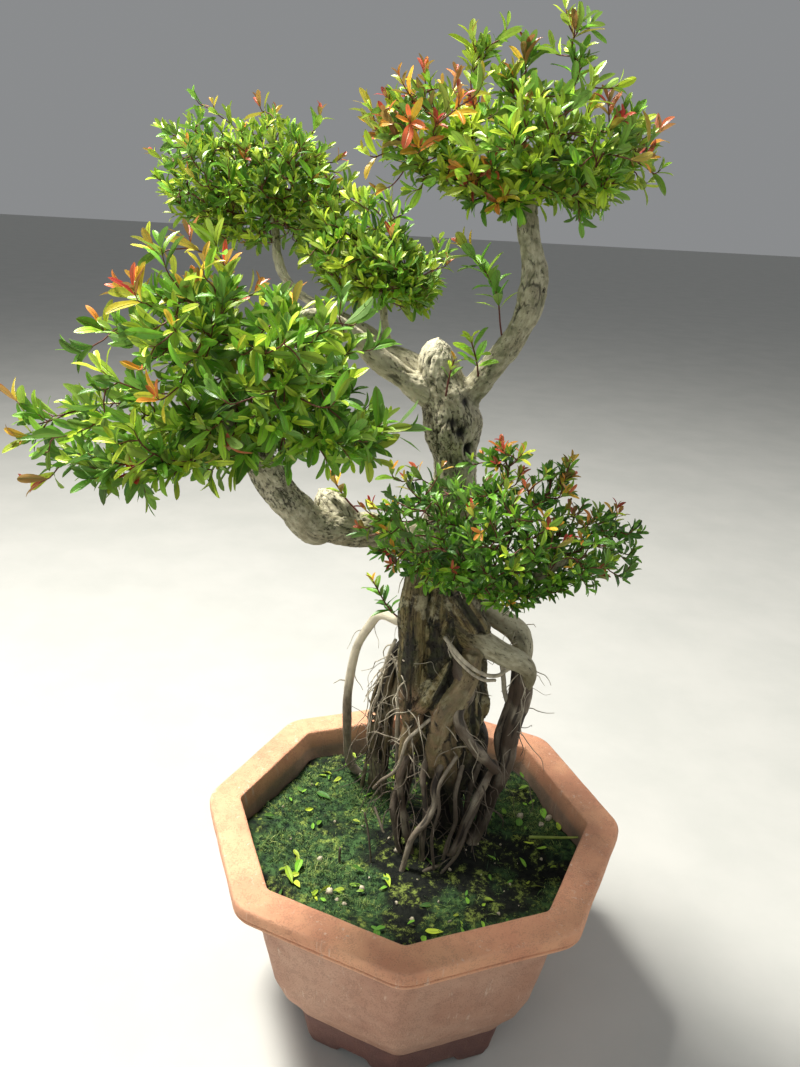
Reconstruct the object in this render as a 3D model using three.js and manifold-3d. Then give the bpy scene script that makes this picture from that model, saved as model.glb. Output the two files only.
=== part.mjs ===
// A bonsai tree with exposed roots in an octagonal terracotta pot. Millimetres, +Z up.
// The pot, its soil and moss, the tree's trunk, branches and roots, its pads of foliage
// and the litter lying on the moss are separate closed pieces that rest in each other.
import * as THREE from "three";
import { mergeVertices } from "three/addons/utils/BufferGeometryUtils.js";
import Module from "manifold-3d";

const wasm = await Module();
wasm.setup();

// ---- Driving dimensions ---------------------------------------------------------------

// Pot
const potWidth = 250; // across the flats of the lip
const potHeight = 144; // sole of the feet to the top of the lip
const lipTopWidth = 20; // flat top of the lip
const lipHeight = 10; // outer side of the lip
const lipOverhang = 16; // lip past the neck below it
const lipEdgeRound = 2.5;
const lipUnderside = 3; // height of the lip's sloping underside
const wall = 9;
const floorThickness = 11;
const bandWidth = 161; // across the flats where the body meets the foot band
const bandStep = 1.2; // the foot band stands back from the body
const bandHeight = 29;
const soleWidth = 146; // across the flats of the feet
const footCutWidth = 26; // shallow gap between two corner feet
const footCutHeight = 6;
const footUndercut = 5; // hollow under the floor, so that only the feet touch
const footRingWidth = 12; // from the feet's outer face in to that hollow
const drainHoleWidth = 14;
const drainHoleRing = 30; // distance of the outer drain holes from the middle
const lipCornerRound = 24;
const bodyCornerRound = 14;
const footCornerRound = 6;
const rimInnerCornerRound = 8;

// Soil and moss
const soilDrop = 22; // top of the lip to the moss
const mossThickness = 4;
const mossWave = 1.6; // unevenness of the moss

// Tree
const treeHeight = 485; // moss to the highest leaf
const woodThickness = 1; // thickness of all the wood against the radii drawn below

// The routes further down are drawn, in millimetres, for a tree and a pot of these sizes.
const drawnTreeHeight = 485;
const drawnSoilReach = 100.5; // middle of the pot to the flats of its wall at the moss
const rootZoneHeight = 120; // up to here the roots' spread follows the pot

// Clearance between touching pieces
const gap = 0.3;

// ---- Places that follow from them -----------------------------------------------------

const lipApothem = potWidth / 2;
const rimInner = lipApothem - lipTopWidth;
const neckApothem = lipApothem - lipOverhang;
const neckZ = potHeight - lipHeight - lipUnderside;
const soilTop = potHeight - soilDrop;
const cavityFloorZ = footUndercut + floorThickness;
const shoulderZ = soilTop - 18; // below this the inner wall follows the body's curve

// The body's outline from the foot band (0, 0) to the neck (1, 1): share up, share outwards.
const bodyCurve = [
  [0, 0],
  [0.09, 0.175],
  [0.2, 0.42],
  [0.38, 0.65],
  [0.58, 0.79],
  [0.8, 0.93],
  [1, 1],
];
const bodyLevels = bodyCurve.map(([up, out]) => ({
  z: bandHeight + up * (neckZ - bandHeight),
  apothem: bandWidth / 2 + out * (neckApothem - bandWidth / 2),
}));

// Distance from the middle to the body's outer flats at a height.
function bodyApothem(z) {
  const above = Math.max(bodyLevels.findIndex((level) => level.z > z), 1);
  const low = bodyLevels[above - 1];
  const high = bodyLevels[above];
  const share = Math.max((z - low.z) / (high.z - low.z), 0);
  return low.apothem + share * (high.apothem - low.apothem);
}

// Distance from the middle to the inner wall's flats at a height above the shoulder.
function mouthApothem(z) {
  const shoulder = bodyApothem(shoulderZ) - wall;
  const share = (z - shoulderZ) / (potHeight - shoulderZ);
  return shoulder + share * (rimInner - shoulder);
}

const grow = treeHeight / drawnTreeHeight;
const footSpread = mouthApothem(soilTop) / drawnSoilReach;

// A drawn point as a place above the moss: the crown follows the tree's height, and the
// roots' feet keep their share of the pot's width.
function place([x, y, z]) {
  const crownShare = THREE.MathUtils.clamp(z / rootZoneHeight, 0, 1);
  const spread = THREE.MathUtils.lerp(footSpread, grow, crownShare);
  return new THREE.Vector3(x * spread, y * spread, z > 0 ? z * grow : z);
}

// ---- Geometry helpers -----------------------------------------------------------------

// A three.js geometry as a manifold-3d solid, without the slivers that shared poles leave.
function solidOf(geometry) {
  const bare = geometry.clone();
  bare.deleteAttribute("normal");
  bare.deleteAttribute("uv");
  const merged = mergeVertices(bare, 1e-4);
  const corners = Array.from(merged.index.array);
  const kept = [];
  for (let i = 0; i < corners.length; i += 3) {
    const [a, b, c] = corners.slice(i, i + 3);
    if (a !== b && b !== c && c !== a) kept.push(a, b, c);
  }
  const vertProperties = new Float32Array(merged.attributes.position.array);
  return new wasm.Manifold(
    new wasm.Mesh({ numProp: 3, vertProperties, triVerts: new Uint32Array(kept) }),
  );
}

// A manifold-3d solid as a three.js geometry.
function geometryOf(solid) {
  const mesh = solid.getMesh();
  return new THREE.BufferGeometry()
    .setAttribute("position", new THREE.BufferAttribute(new Float32Array(mesh.vertProperties), 3))
    .setIndex(new THREE.BufferAttribute(new Uint32Array(mesh.triVerts), 1));
}

// The biggest body of a solid, so that a cut leaves no loose crumbs.
function mainBody(solid) {
  return solid.decompose().reduce((best, body) => (body.volume() > best.volume() ? body : best));
}

const cornerSteps = 3; // points on each rounded corner
const outlineSteps = 8 * cornerSteps;

// Point i of a rounded octagon whose corners lie on the X and Y axes and half-way between.
function octagonPoint(i, apothem, cornerRound) {
  const corner = Math.floor(i / cornerSteps) % 8;
  const along = (i % cornerSteps) / (cornerSteps - 1) - 0.5;
  const round = Math.min(cornerRound, apothem);
  const middle = (apothem - round) / Math.cos(Math.PI / 8);
  const cornerAngle = (corner * Math.PI) / 4;
  const angle = cornerAngle + (along * Math.PI) / 4;
  return new THREE.Vector2(
    middle * Math.cos(cornerAngle) + round * Math.cos(angle),
    middle * Math.sin(cornerAngle) + round * Math.sin(angle),
  );
}

// A closed octagonal vessel: a lathe whose rings are rounded octagons.
// Each profile point is [apothem, z, corner radius]; height(x, y, z) may lift a point.
function octagonalLathe(profile, height = (x, y, z) => z) {
  const points = profile.map(([apothem, z]) => new THREE.Vector2(apothem, z));
  const lathe = new THREE.LatheGeometry(points, outlineSteps);
  const position = lathe.attributes.position;
  for (let i = 0; i <= outlineSteps; i += 1) {
    profile.forEach(([apothem, z, cornerRound], j) => {
      const p = octagonPoint(i % outlineSteps, apothem, cornerRound);
      position.setXYZ(i * profile.length + j, p.x, p.y, height(p.x, p.y, z));
    });
  }
  return solidOf(lathe);
}

// A tapering branch or root along smooth control points [x, y, z, radius], measured from
// the trunk's foot at moss level. Ridges run along it, ridgeDepth as a share of its radius.
function limb(points, options = {}) {
  const { sides = 8, stepsPerPoint = 2, ridges = 3, ridgeDepth = 0.06, swell = 0 } = options;
  const curve = new THREE.CatmullRomCurve3(points.map(place));
  const steps = (points.length - 1) * stepsPerPoint;
  const tube = new THREE.CylinderGeometry(1, 1, 1, sides, steps);
  const position = tube.attributes.position;
  const rings = limbRings(curve, steps);
  for (let i = 0; i < position.count; i += 1) {
    const x = position.getX(i);
    const z = position.getZ(i);
    const t = 0.5 - position.getY(i);
    const ring = rings[Math.round(t * steps)];
    const onAxis = Math.hypot(x, z) < 0.5;
    const angle = Math.atan2(z, x);
    const ridge = 1 + ridgeDepth * Math.cos(ridges * angle + 5 * t);
    const radius = onAxis ? 0 : limbRadius(points, t) * woodThickness * ridge + swell;
    const out = ring.side.clone().multiplyScalar(Math.cos(angle) * radius);
    out.addScaledVector(ring.up, Math.sin(angle) * radius).add(ring.centre);
    position.setXYZ(i, out.x, out.y, out.z + soilTop);
  }
  const solid = solidOf(tube);
  return solid.volume() < 0 ? solidOf(flipped(tube)) : solid;
}

// Centre, side and up directions along a curve, carried forward without twisting.
function limbRings(curve, steps) {
  const rings = [];
  let side = new THREE.Vector3(0, 1, 0);
  for (let i = 0; i <= steps; i += 1) {
    const tangent = curve.getTangent(i / steps);
    side = side.clone().addScaledVector(tangent, -side.dot(tangent)).normalize();
    const up = tangent.clone().cross(side);
    rings.push({ centre: curve.getPoint(i / steps), side, up });
  }
  return rings;
}

// The radius between the control points of a limb.
function limbRadius(points, t) {
  const place = t * (points.length - 1);
  const before = Math.min(Math.floor(place), points.length - 2);
  const share = place - before;
  return points[before][3] * (1 - share) + points[before + 1][3] * share;
}

// The same geometry with its faces turned round.
function flipped(geometry) {
  const turned = geometry.clone();
  const corners = turned.index.array;
  for (let i = 0; i < corners.length; i += 3) {
    const kept = corners[i + 1];
    corners[i + 1] = corners[i + 2];
    corners[i + 2] = kept;
  }
  return turned;
}

// A rounded lump, centred at [x, y, z] above the moss, with its three half sizes.
function lump([x, y, z], [halfX, halfY, halfZ], detail = 1) {
  const ball = new THREE.IcosahedronGeometry(1, detail);
  ball.scale(halfX, halfY, halfZ);
  ball.translate(x, y, z + soilTop);
  return solidOf(ball);
}

// ---- Pot ------------------------------------------------------------------------------

// The inner face of the pot from the floor to the shoulder, moved inwards by a clearance.
function cavityWalls(clearance) {
  const floorEdge = bodyApothem(0) - wall - clearance;
  const curved = bodyLevels
    .filter(({ z }) => z > cavityFloorZ + 14 && z < shoulderZ - 6)
    .map(({ z, apothem }) => [apothem - wall - clearance, z, bodyCornerRound]);
  return [
    [floorEdge - 8, cavityFloorZ + clearance, footCornerRound],
    [floorEdge, cavityFloorZ + 9, footCornerRound],
    ...curved,
    [mouthApothem(shoulderZ) - clearance, shoulderZ, rimInnerCornerRound],
  ];
}

function pot() {
  const sole = soleWidth / 2;
  const lipBottomZ = potHeight - lipHeight;
  const outside = octagonalLathe([
    [0, 0, 0],
    [sole, 0, footCornerRound],
    [sole + 3, 8, footCornerRound],
    [bandWidth / 2 - bandStep, bandHeight - 1, footCornerRound],
    ...bodyLevels.map(({ z, apothem }) => [apothem, z, bodyCornerRound]),
    [lipApothem - lipEdgeRound, lipBottomZ, lipCornerRound],
    [lipApothem, lipBottomZ + lipEdgeRound, lipCornerRound],
    [lipApothem, potHeight - lipEdgeRound, lipCornerRound],
    [lipApothem - lipEdgeRound, potHeight, lipCornerRound],
    [0, potHeight, 0],
  ]);
  const inside = octagonalLathe([
    [0, cavityFloorZ, 0],
    ...cavityWalls(0),
    [mouthApothem(potHeight + 1), potHeight + 1, rimInnerCornerRound],
    [0, potHeight + 1, 0],
  ]);
  const footHollow = octagonalLathe([
    [0, -1, 0],
    [sole - footRingWidth, -1, footCornerRound],
    [sole - footRingWidth, footUndercut, footCornerRound],
    [0, footUndercut, 0],
  ]);
  const cuts = [inside, footHollow, ...footCuts(), ...drainHoles()];
  return cuts.reduce((clay, cut) => clay.subtract(cut), outside);
}

// One shallow gap in the middle of each side, between the corner feet.
function footCuts() {
  const slope = footCutHeight * 0.7;
  const outline = new THREE.Shape([
    new THREE.Vector2(-footCutWidth / 2, -1),
    new THREE.Vector2(footCutWidth / 2, -1),
    new THREE.Vector2(footCutWidth / 2 - slope, footCutHeight),
    new THREE.Vector2(-footCutWidth / 2 + slope, footCutHeight),
  ]);
  return Array.from({ length: 8 }, (unused, side) => {
    const cut = new THREE.ExtrudeGeometry(outline, { depth: soleWidth, bevelEnabled: false });
    cut.rotateX(Math.PI / 2);
    cut.translate(0, -soleWidth / 4, 0);
    cut.rotateZ(((side + 0.5) * Math.PI) / 4);
    return solidOf(cut);
  });
}

// One hole in the middle of the floor and four round it.
function drainHoles() {
  const places = [0, 1, 2, 3].map((i) => [
    drainHoleRing * Math.cos((i * Math.PI) / 2),
    drainHoleRing * Math.sin((i * Math.PI) / 2),
  ]);
  return [[0, 0], ...places].map(([x, y]) => {
    const hole = new THREE.CylinderGeometry(drainHoleWidth / 2, drainHoleWidth / 2, 60, 16);
    hole.rotateX(Math.PI / 2);
    hole.translate(x, y, 0);
    return solidOf(hole);
  });
}

// ---- Soil and moss --------------------------------------------------------------------

// Height of the moss above its mean level.
function mossHeight(x, y) {
  const wave = Math.sin(x * 0.055 + 1) * Math.cos(y * 0.048) + 0.6 * Math.sin((x + y) * 0.09);
  return mossWave * wave;
}

// The soil fills the pot from the floor to a flat bed under the moss.
function soil() {
  const bedZ = soilTop - mossThickness - gap;
  return octagonalLathe([
    [0, cavityFloorZ + gap, 0],
    ...cavityWalls(gap),
    [mouthApothem(bedZ) - gap, bedZ, rimInnerCornerRound],
    [0, bedZ, 0],
  ]);
}

// The moss lies flat on the soil, and its top rises and falls in gentle waves.
function moss() {
  const undersideZ = soilTop - mossThickness;
  const edge = mouthApothem(undersideZ) - gap;
  const wavyRings = [0.8, 0.55, 0.3, 0].map((share) => [
    edge * share,
    soilTop,
    edge * share * 0.7,
  ]);
  const profile = [
    [0, undersideZ, 0],
    [edge, undersideZ, rimInnerCornerRound],
    [edge, soilTop, rimInnerCornerRound],
    ...wavyRings,
  ];
  return octagonalLathe(profile, (x, y, z) => (z === soilTop ? z + mossHeight(x, y) : z));
}

// ---- Tree: routes from the trunk's foot, [x, y, z, radius] -------------------------------

const trunkRoute = [
  [21, 8, 34, 11], [21, 6, 60, 20], [16, 6, 100, 27], [12, 8, 143, 23], [11, 10, 180, 22],
  [12, 10, 214, 18], [12, 8, 244, 14], [10, 6, 264, 14], [7, 5, 285, 16], [0, 5, 303, 12],
  [-3, 5, 316, 9], [-3, 5, 324, 4],
];

const branchRoutes = {
  right_branch: [
    [8, 6, 284, 9], [19, 4, 301, 7.5], [31, 0, 319, 6.8], [39, -3, 334, 6.7], [44, -5, 348, 7],
    [45, -6, 361, 6.7], [43, -5, 371, 6.1], [40, -5, 380, 5.8], [37, -5, 398, 5],
    [34, -6, 418, 3],
  ],
  front_left_branch: [
    [2, 3, 292, 9], [-18, 0, 303, 6.6], [-28, -5, 310, 6], [-38, -12, 319, 5.4],
    [-47, -20, 329, 4.4], [-58, -34, 338, 3],
  ],
  back_left_branch: [
    [0, 8, 304, 8], [-21, 26, 311, 5], [-32, 38, 313, 4.4], [-42, 50, 319, 3.9],
    [-56, 58, 325, 3.4], [-78, 68, 333, 3.2], [-94, 76, 341, 3], [-104, 82, 356, 2.9],
    [-107, 86, 378, 2.4], [-112, 88, 396, 1.6],
  ],
  middle_branch: [
    [-28, 34, 308, 3.4], [-34, 46, 323, 2.6], [-37, 50, 339, 2.3], [-40, 52, 356, 1.6],
  ],
  lower_left_branch: [
    [12, 4, 196, 13], [-6, -3, 209, 11], [-18, -8, 213, 10], [-34, -18, 221, 9.6],
    [-50, -30, 226, 9.6], [-61, -38, 229, 9.5], [-71, -45, 239, 9.2], [-80, -52, 254, 8.8],
    [-87, -58, 267, 8.4], [-96, -66, 284, 6.5], [-104, -72, 302, 4],
  ],
  branch_stub: [
    [-46, -26, 226, 9], [-52, -24, 233, 9.4], [-58, -20, 238, 8.6], [-61, -18, 241, 6],
  ],
  low_right_branch: [
    [14, 0, 186, 8], [22, -16, 192, 5], [36, -32, 198, 4], [54, -42, 208, 3.2],
    [72, -46, 222, 2.2],
  ],
};

const rootRoutes = {
  aerial_root: [
    [-2, 4, 158, 3.4], [-14, 2, 156, 3], [-27, 8, 157, 2.9], [-34, 13, 147, 2.9],
    [-43, 22, 124, 2.9], [-48, 34, 88, 3], [-49, 44, 58, 3.1], [-49, 54, 30, 3.2],
    [-47, 60, 12, 3.3], [-41, 63, 2, 3.3], [-34, 62, -8, 2.6],
  ],
  side_root_bundle: [
    [-6, 2, 150, 3], [-17, 4, 134, 3], [-20, 10, 114, 3.8], [-24, 20, 90, 5], [-26, 30, 64, 6],
    [-27, 40, 36, 6.6], [-28, 48, 8, 7], [-29, 54, -12, 5],
  ],
  shoulder_root: [
    [16, 10, 160, 8], [33, 12, 164, 7.6], [45, 14, 157, 7.4], [56, 14, 150, 7.2],
    [62, 12, 143, 6.6], [62, 7, 136, 4],
  ],
  knuckle_root: [
    [16, -2, 160, 8], [25, -5, 156, 8.6], [37, -8, 150, 8], [47, -9, 145, 7],
    [58, -8, 140, 5.8], [65, -5, 134, 4.4],
  ],
  prop_root: [
    [60, -2, 136, 4], [63, 0, 122, 5.4], [63, 2, 106, 5.6], [59, 4, 87, 5.7], [58, 5, 68, 5.8],
    [55, 6, 49, 5.5], [50, 6, 32, 5.2], [46, 4, 13, 4.8], [38, -4, 0, 4.6], [28, -14, -9, 3.6],
  ],
  twin_root: [
    [50, -4, 66, 2.8], [39, -10, 40, 2.9], [34, -13, 23, 2.9], [28, -17, 8, 2.6],
    [19, -22, -5, 2.2],
  ],
  mid_root: [
    [22, -8, 140, 7], [28, -20, 124, 5], [23, -25, 114, 3.7], [25, -25, 103, 3.4],
    [33, -20, 88, 3.4], [40, -13, 76, 3.4], [51, -5, 60, 3.2],
  ],
  front_root_a: [
    [10, -8, 88, 3], [5, -20, 66, 2.1], [6, -23, 55, 2], [8, -25, 40, 2], [7, -24, 22, 2],
    [8, -23, -5, 2],
  ],
  front_root_b: [
    [20, -10, 80, 3], [12, -24, 60, 2.1], [13, -26, 48, 2], [9, -30, 38, 2], [2, -32, 28, 2],
    [-1, -33, 20, 2], [-6, -36, -5, 2],
  ],
  left_root: [
    [4, -4, 96, 4], [-8, -14, 65, 2.8], [-9, -15, 51, 2.6], [-7, -16, 38, 2.6],
    [-3, -17, 17, 2.6], [2, -18, -6, 2.2],
  ],
  tap_root: [
    [21, 10, 44, 12], [20, 12, 26, 11], [22, 12, 8, 11], [24, 12, -14, 8],
  ],
  back_root_left: [
    [8, 18, 84, 8], [-4, 30, 56, 5.4], [-8, 34, 30, 4.6], [-10, 38, -8, 4],
  ],
  back_root_right: [
    [30, 16, 92, 8], [42, 30, 60, 5.6], [44, 34, 30, 4.8], [48, 38, -8, 4],
  ],
};

// ---- Foliage pads: [centre], [half sizes] of the lobes that make each one ---------------

const padLobes = {
  foliage_lower_left: [
    [[-166, -80, 293], [43, 38, 37]], [[-118, -72, 318], [46, 48, 50]],
    [[-72, -76, 314], [42, 46, 43]], [[-45, -84, 292], [30, 34, 22]],
    [[-140, -98, 280], [42, 30, 26]], [[-110, -62, 282], [50, 40, 26]],
  ],
  foliage_upper_left: [
    [[-142, 85, 396], [38, 36, 34]], [[-106, 80, 402], [40, 40, 40]],
    [[-80, 88, 385], [26, 30, 32]], [[-150, 92, 410], [28, 28, 26]],
    [[-112, 85, 366], [26, 24, 22]],
  ],
  foliage_middle: [
    [[-42, 50, 358], [38, 34, 31]], [[-20, 46, 350], [22, 26, 24]],
    [[-56, 52, 364], [30, 30, 30]],
  ],
  foliage_top_right: [
    [[25, -10, 424], [50, 46, 40]], [[64, -12, 420], [34, 40, 34]],
    [[-10, -8, 428], [35, 36, 30]], [[8, -10, 456], [12, 12, 20]],
    [[32, -10, 458], [12, 12, 18]], [[55, -12, 465], [13, 13, 20]],
  ],
  foliage_low_right: [
    [[0, -46, 232], [38, 32, 32]], [[38, -50, 238], [38, 34, 36]],
    [[72, -46, 230], [36, 28, 30]], [[33, -48, 268], [14, 14, 18]],
    [[62, -48, 260], [14, 14, 18]], [[40, -44, 208], [40, 26, 18]],
  ],
};

// Short young shoots: stem route, leaf length and how many leaf pairs it carries.
const shoots = {
  crotch_shoot: {
    stem: [
      [32, 0, 324, 0.9], [30, 8, 334, 0.8], [27, 10, 349, 0.7], [19, 9, 362, 0.6],
      [6, 8, 374, 0.5],
    ],
    leafLength: 11,
    pairs: 8,
  },
  crotch_cluster: {
    stem: [[20, -2, 307, 0.9], [18, -10, 317, 0.7], [14, -18, 329, 0.6]],
    leafLength: 10,
    pairs: 4,
  },
  trunk_shoot: {
    stem: [[3, -14, 300, 0.8], [4, -15, 308, 0.7], [6, -16, 316, 0.6]],
    leafLength: 8,
    pairs: 2,
  },
  stub_shoot: {
    stem: [[-40, -31, 236, 0.8], [-47, -30, 243, 0.7], [-55, -29, 252, 0.6]],
    leafLength: 11,
    pairs: 3,
  },
  side_shoot: {
    stem: [[-12, -5, 160, 0.9], [-22, -5, 168, 0.8], [-32, -4, 182, 0.6]],
    leafLength: 12,
    pairs: 4,
  },
};

// A pad of foliage: its lobes joined, each one swollen by a clearance.
function foliage(lobes, swell) {
  const grown = lobes.map(([centre, half]) =>
    lump(
      place(centre).toArray(),
      half.map((size) => size * grow + swell),
    ),
  );
  return grown.reduce((sum, lobe) => sum.add(lobe));
}

// A leaf blade lying flat along +X, with a slight fold along its middle.
function leafBlade(length, width, thickness, detail) {
  const blade = new THREE.OctahedronGeometry(1, detail);
  blade.scale(length / 2, width / 2, thickness / 2);
  const position = blade.attributes.position;
  for (let i = 0; i < position.count; i += 1) {
    const lift = (Math.abs(position.getY(i)) / width) * thickness;
    position.setZ(i, position.getZ(i) + lift);
  }
  return blade;
}

const shootLeafThickness = 1.2;
const shootLeafRise = 0.6; // radians that a leaf stands up from level
const shootTurn = 1.7; // radians from one leaf pair to the next

// A young shoot: a thin stem with pairs of small leaves that stand up and out from it.
function shoot({ stem, leafLength, pairs }) {
  const curve = new THREE.CatmullRomCurve3(stem.map(place));
  let solid = limb(stem, { sides: 6, ridgeDepth: 0 });
  for (let i = 0; i < pairs * 2; i += 1) {
    const pair = Math.floor(i / 2);
    const at = curve.getPoint(0.15 + (0.85 * pair) / Math.max(pairs - 1, 1));
    const blade = leafBlade(leafLength, leafLength * 0.3, shootLeafThickness, 0);
    blade.translate(leafLength * 0.46, 0, 0);
    blade.rotateY(-shootLeafRise);
    blade.rotateZ(i * Math.PI + pair * shootTurn);
    blade.translate(at.x, at.y, at.z + soilTop);
    solid = solid.add(solidOf(blade));
  }
  return solid;
}

// ---- Litter on the moss ---------------------------------------------------------------

// [angle in degrees, share of the way to the pot's wall, length, turn in degrees]
const fallenLeaves = [
  [215, 0.86, 13, 30],
  [222, 0.98, 14, 15],
  [258, 0.52, 13, 100],
  [172, 0.6, 11, 150],
  [20, 0.78, 12, 60],
  [42, 0.95, 13, 20],
  [284, 0.86, 10, 80],
];
// [angle in degrees, share of the way to the pot's wall, radius]
const pebbles = [
  [228, 0.72, 3.4],
  [259, 0.88, 3.6],
  [18, 0.98, 4],
  [8, 0.9, 3],
  [150, 0.68, 3],
  [240, 0.2, 2.6],
];
const litterMargin = 12; // the outermost litter's distance from the lip's inner edge
const fallenLeafThickness = 1.6;
const twigLength = 26;
const twigRadius = 1;

// A place on the moss, with its height above the moss's mean level.
function onMoss(degrees, share) {
  const reach = (rimInner - litterMargin) * share;
  const angle = THREE.MathUtils.degToRad(degrees);
  const x = reach * Math.cos(angle);
  const y = reach * Math.sin(angle);
  return new THREE.Vector3(x, y, mossHeight(x, y));
}

function fallenLeaf([degrees, share, length, turn]) {
  const spot = onMoss(degrees, share);
  const blade = leafBlade(length, length * 0.36, fallenLeafThickness, 1);
  blade.rotateZ(THREE.MathUtils.degToRad(turn));
  blade.translate(spot.x, spot.y, soilTop + spot.z + fallenLeafThickness * 0.7);
  return solidOf(blade);
}

function pebble([degrees, share, radius]) {
  const spot = onMoss(degrees, share);
  spot.z += radius * 0.4;
  return lump(spot.toArray(), [radius * 1.2, radius, radius * 0.8]);
}

// A short green twig lying near the right-hand wall.
function twig() {
  const spot = onMoss(-2, 0.96);
  const lieZ = soilTop + spot.z + twigRadius + 0.8;
  const route = new THREE.CatmullRomCurve3([
    new THREE.Vector3(spot.x - twigLength * 0.65, spot.y - 3, lieZ),
    new THREE.Vector3(spot.x - 4, spot.y, lieZ + 0.6),
    new THREE.Vector3(spot.x + twigLength * 0.35, spot.y - 2, lieZ),
  ]);
  const section = new THREE.Shape().absarc(0, 0, twigRadius, 0, 2 * Math.PI);
  return solidOf(
    new THREE.ExtrudeGeometry(section, { steps: 4, curveSegments: 3, extrudePath: route }),
  );
}

// ---- Assembly -------------------------------------------------------------------------

const finishes = {
  pot: { color: 0xb8735a, roughness: 0.85 },
  soil: { color: 0x2c221a, roughness: 1 },
  moss: { color: 0x3c5a22, roughness: 1 },
  bark: { color: 0xa69d86, roughness: 0.9 },
  root: { color: 0x6f5d4b, roughness: 0.9 },
  leaves: { color: 0x5f8f2c, roughness: 0.45 },
  shoot: { color: 0xb8b23a, roughness: 0.45 },
  fallen: { color: 0x9fb23e, roughness: 0.6 },
  stone: { color: 0xc9bfa6, roughness: 0.9 },
};

const pieces = new Map(); // name -> { solid, finish }

function keep(name, solid, finish) {
  pieces.set(name, { solid, finish });
}

// Wood: each piece is cut back from the swollen copies of those made before it, so that a
// branch or root ends in a cupped face that sits on the piece it springs from.
const trunkShape = { sides: 16, ridges: 5, ridgeDepth: 0.08 };
let swollenWood = limb(trunkRoute, { ...trunkShape, swell: gap });
keep("trunk", limb(trunkRoute, trunkShape), "bark");
const woodRoutes = [
  ...Object.entries(branchRoutes).map(([name, route]) => [name, route, "bark"]),
  ...Object.entries(rootRoutes).map(([name, route]) => [name, route, "root"]),
];
for (const [name, route, finish] of woodRoutes) {
  keep(name, mainBody(limb(route).subtract(swollenWood)), finish);
  swollenWood = swollenWood.add(limb(route, { swell: gap }));
}

// Foliage pads leave room for the wood that carries them and for the pads made before.
let taken = swollenWood;
for (const [name, lobes] of Object.entries(padLobes)) {
  keep(name, mainBody(foliage(lobes, 0).subtract(taken)), "leaves");
  taken = taken.add(foliage(lobes, gap));
}
for (const [name, design] of Object.entries(shoots)) {
  keep(name, mainBody(shoot(design).subtract(taken)), "shoot");
}

// Pot, soil and moss, with the roots' room left in the ground.
keep("pot", pot(), "pot");
keep("soil", mainBody(soil().subtract(swollenWood)), "soil");
keep("moss", mainBody(moss().subtract(swollenWood)), "moss");

// Litter rests on the moss, clear of the roots.
const litter = [
  ...fallenLeaves.map((leaf, i) => ["fallen_leaf_" + (i + 1), fallenLeaf(leaf), "fallen"]),
  ...pebbles.map((stone, i) => ["pebble_" + (i + 1), pebble(stone), "stone"]),
  ["green_twig", twig(), "fallen"],
];
const underLitter = moss().translate([0, 0, gap]).add(swollenWood);
for (const [name, solid, finish] of litter) {
  keep(name, mainBody(solid.subtract(underLitter)), finish);
}

const bonsai = new THREE.Group();
for (const [name, { solid, finish }] of pieces) {
  const material = new THREE.MeshStandardMaterial({ metalness: 0, ...finishes[finish] });
  const mesh = new THREE.Mesh(geometryOf(solid), material);
  mesh.name = name;
  bonsai.add(mesh);
}

// The origin is the middle of the whole object's footprint, at the height of the feet.
const box = new THREE.Box3().setFromObject(bonsai);
const footprint = box.getCenter(new THREE.Vector3()).setZ(box.min.z);
for (const mesh of bonsai.children) mesh.position.copy(footprint).negate();

export default bonsai;
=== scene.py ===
"""A bonsai tree in an octagonal clay pot: clay, moss, bark, roots, twigs and leaves.

Lengths are in millimetres, measured from the pot's middle and upwards from the moss, unless
a name says otherwise. `to_metres` turns them into the model's own metres.
"""

import math

import bpy
import numpy as np
from mathutils import Matrix, Vector


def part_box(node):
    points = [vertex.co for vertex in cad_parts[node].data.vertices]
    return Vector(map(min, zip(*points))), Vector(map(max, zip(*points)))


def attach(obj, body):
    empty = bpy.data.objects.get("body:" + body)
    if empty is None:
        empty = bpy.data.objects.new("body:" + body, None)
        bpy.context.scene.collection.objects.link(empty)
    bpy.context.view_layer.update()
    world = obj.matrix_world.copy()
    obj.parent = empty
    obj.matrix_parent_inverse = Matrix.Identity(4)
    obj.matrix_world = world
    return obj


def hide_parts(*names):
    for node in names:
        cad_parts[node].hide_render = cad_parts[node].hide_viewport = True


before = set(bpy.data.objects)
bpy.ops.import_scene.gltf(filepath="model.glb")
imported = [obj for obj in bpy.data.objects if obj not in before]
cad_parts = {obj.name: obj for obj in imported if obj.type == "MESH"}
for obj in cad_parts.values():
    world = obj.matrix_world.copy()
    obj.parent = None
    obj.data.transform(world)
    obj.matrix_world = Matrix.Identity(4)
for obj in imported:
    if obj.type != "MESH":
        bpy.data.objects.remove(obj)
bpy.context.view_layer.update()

# ---- Where things are ---------------------------------------------------------------------

POT_LOW, POT_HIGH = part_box("pot")
RIM_TO_MOSS = 22.0
POT_HEIGHT = (POT_HIGH.z - POT_LOW.z) * 1000
MOSS_HEIGHT = POT_HEIGHT - RIM_TO_MOSS
POT_MIDDLE = np.array([(POT_LOW.x + POT_HIGH.x) / 2, (POT_LOW.y + POT_HIGH.y) / 2, POT_LOW.z])
UP = np.array([0.0, 0.0, 1.0])


def to_metres(points):
    """Points in the model's frame, in metres."""
    return POT_MIDDLE + (np.asarray(points) + [0, 0, MOSS_HEIGHT]) * 0.001


def to_millimetres(points):
    """Points from the pot's middle and the moss upwards."""
    return (np.asarray(points) - POT_MIDDLE) * 1000 - [0, 0, MOSS_HEIGHT]


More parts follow.
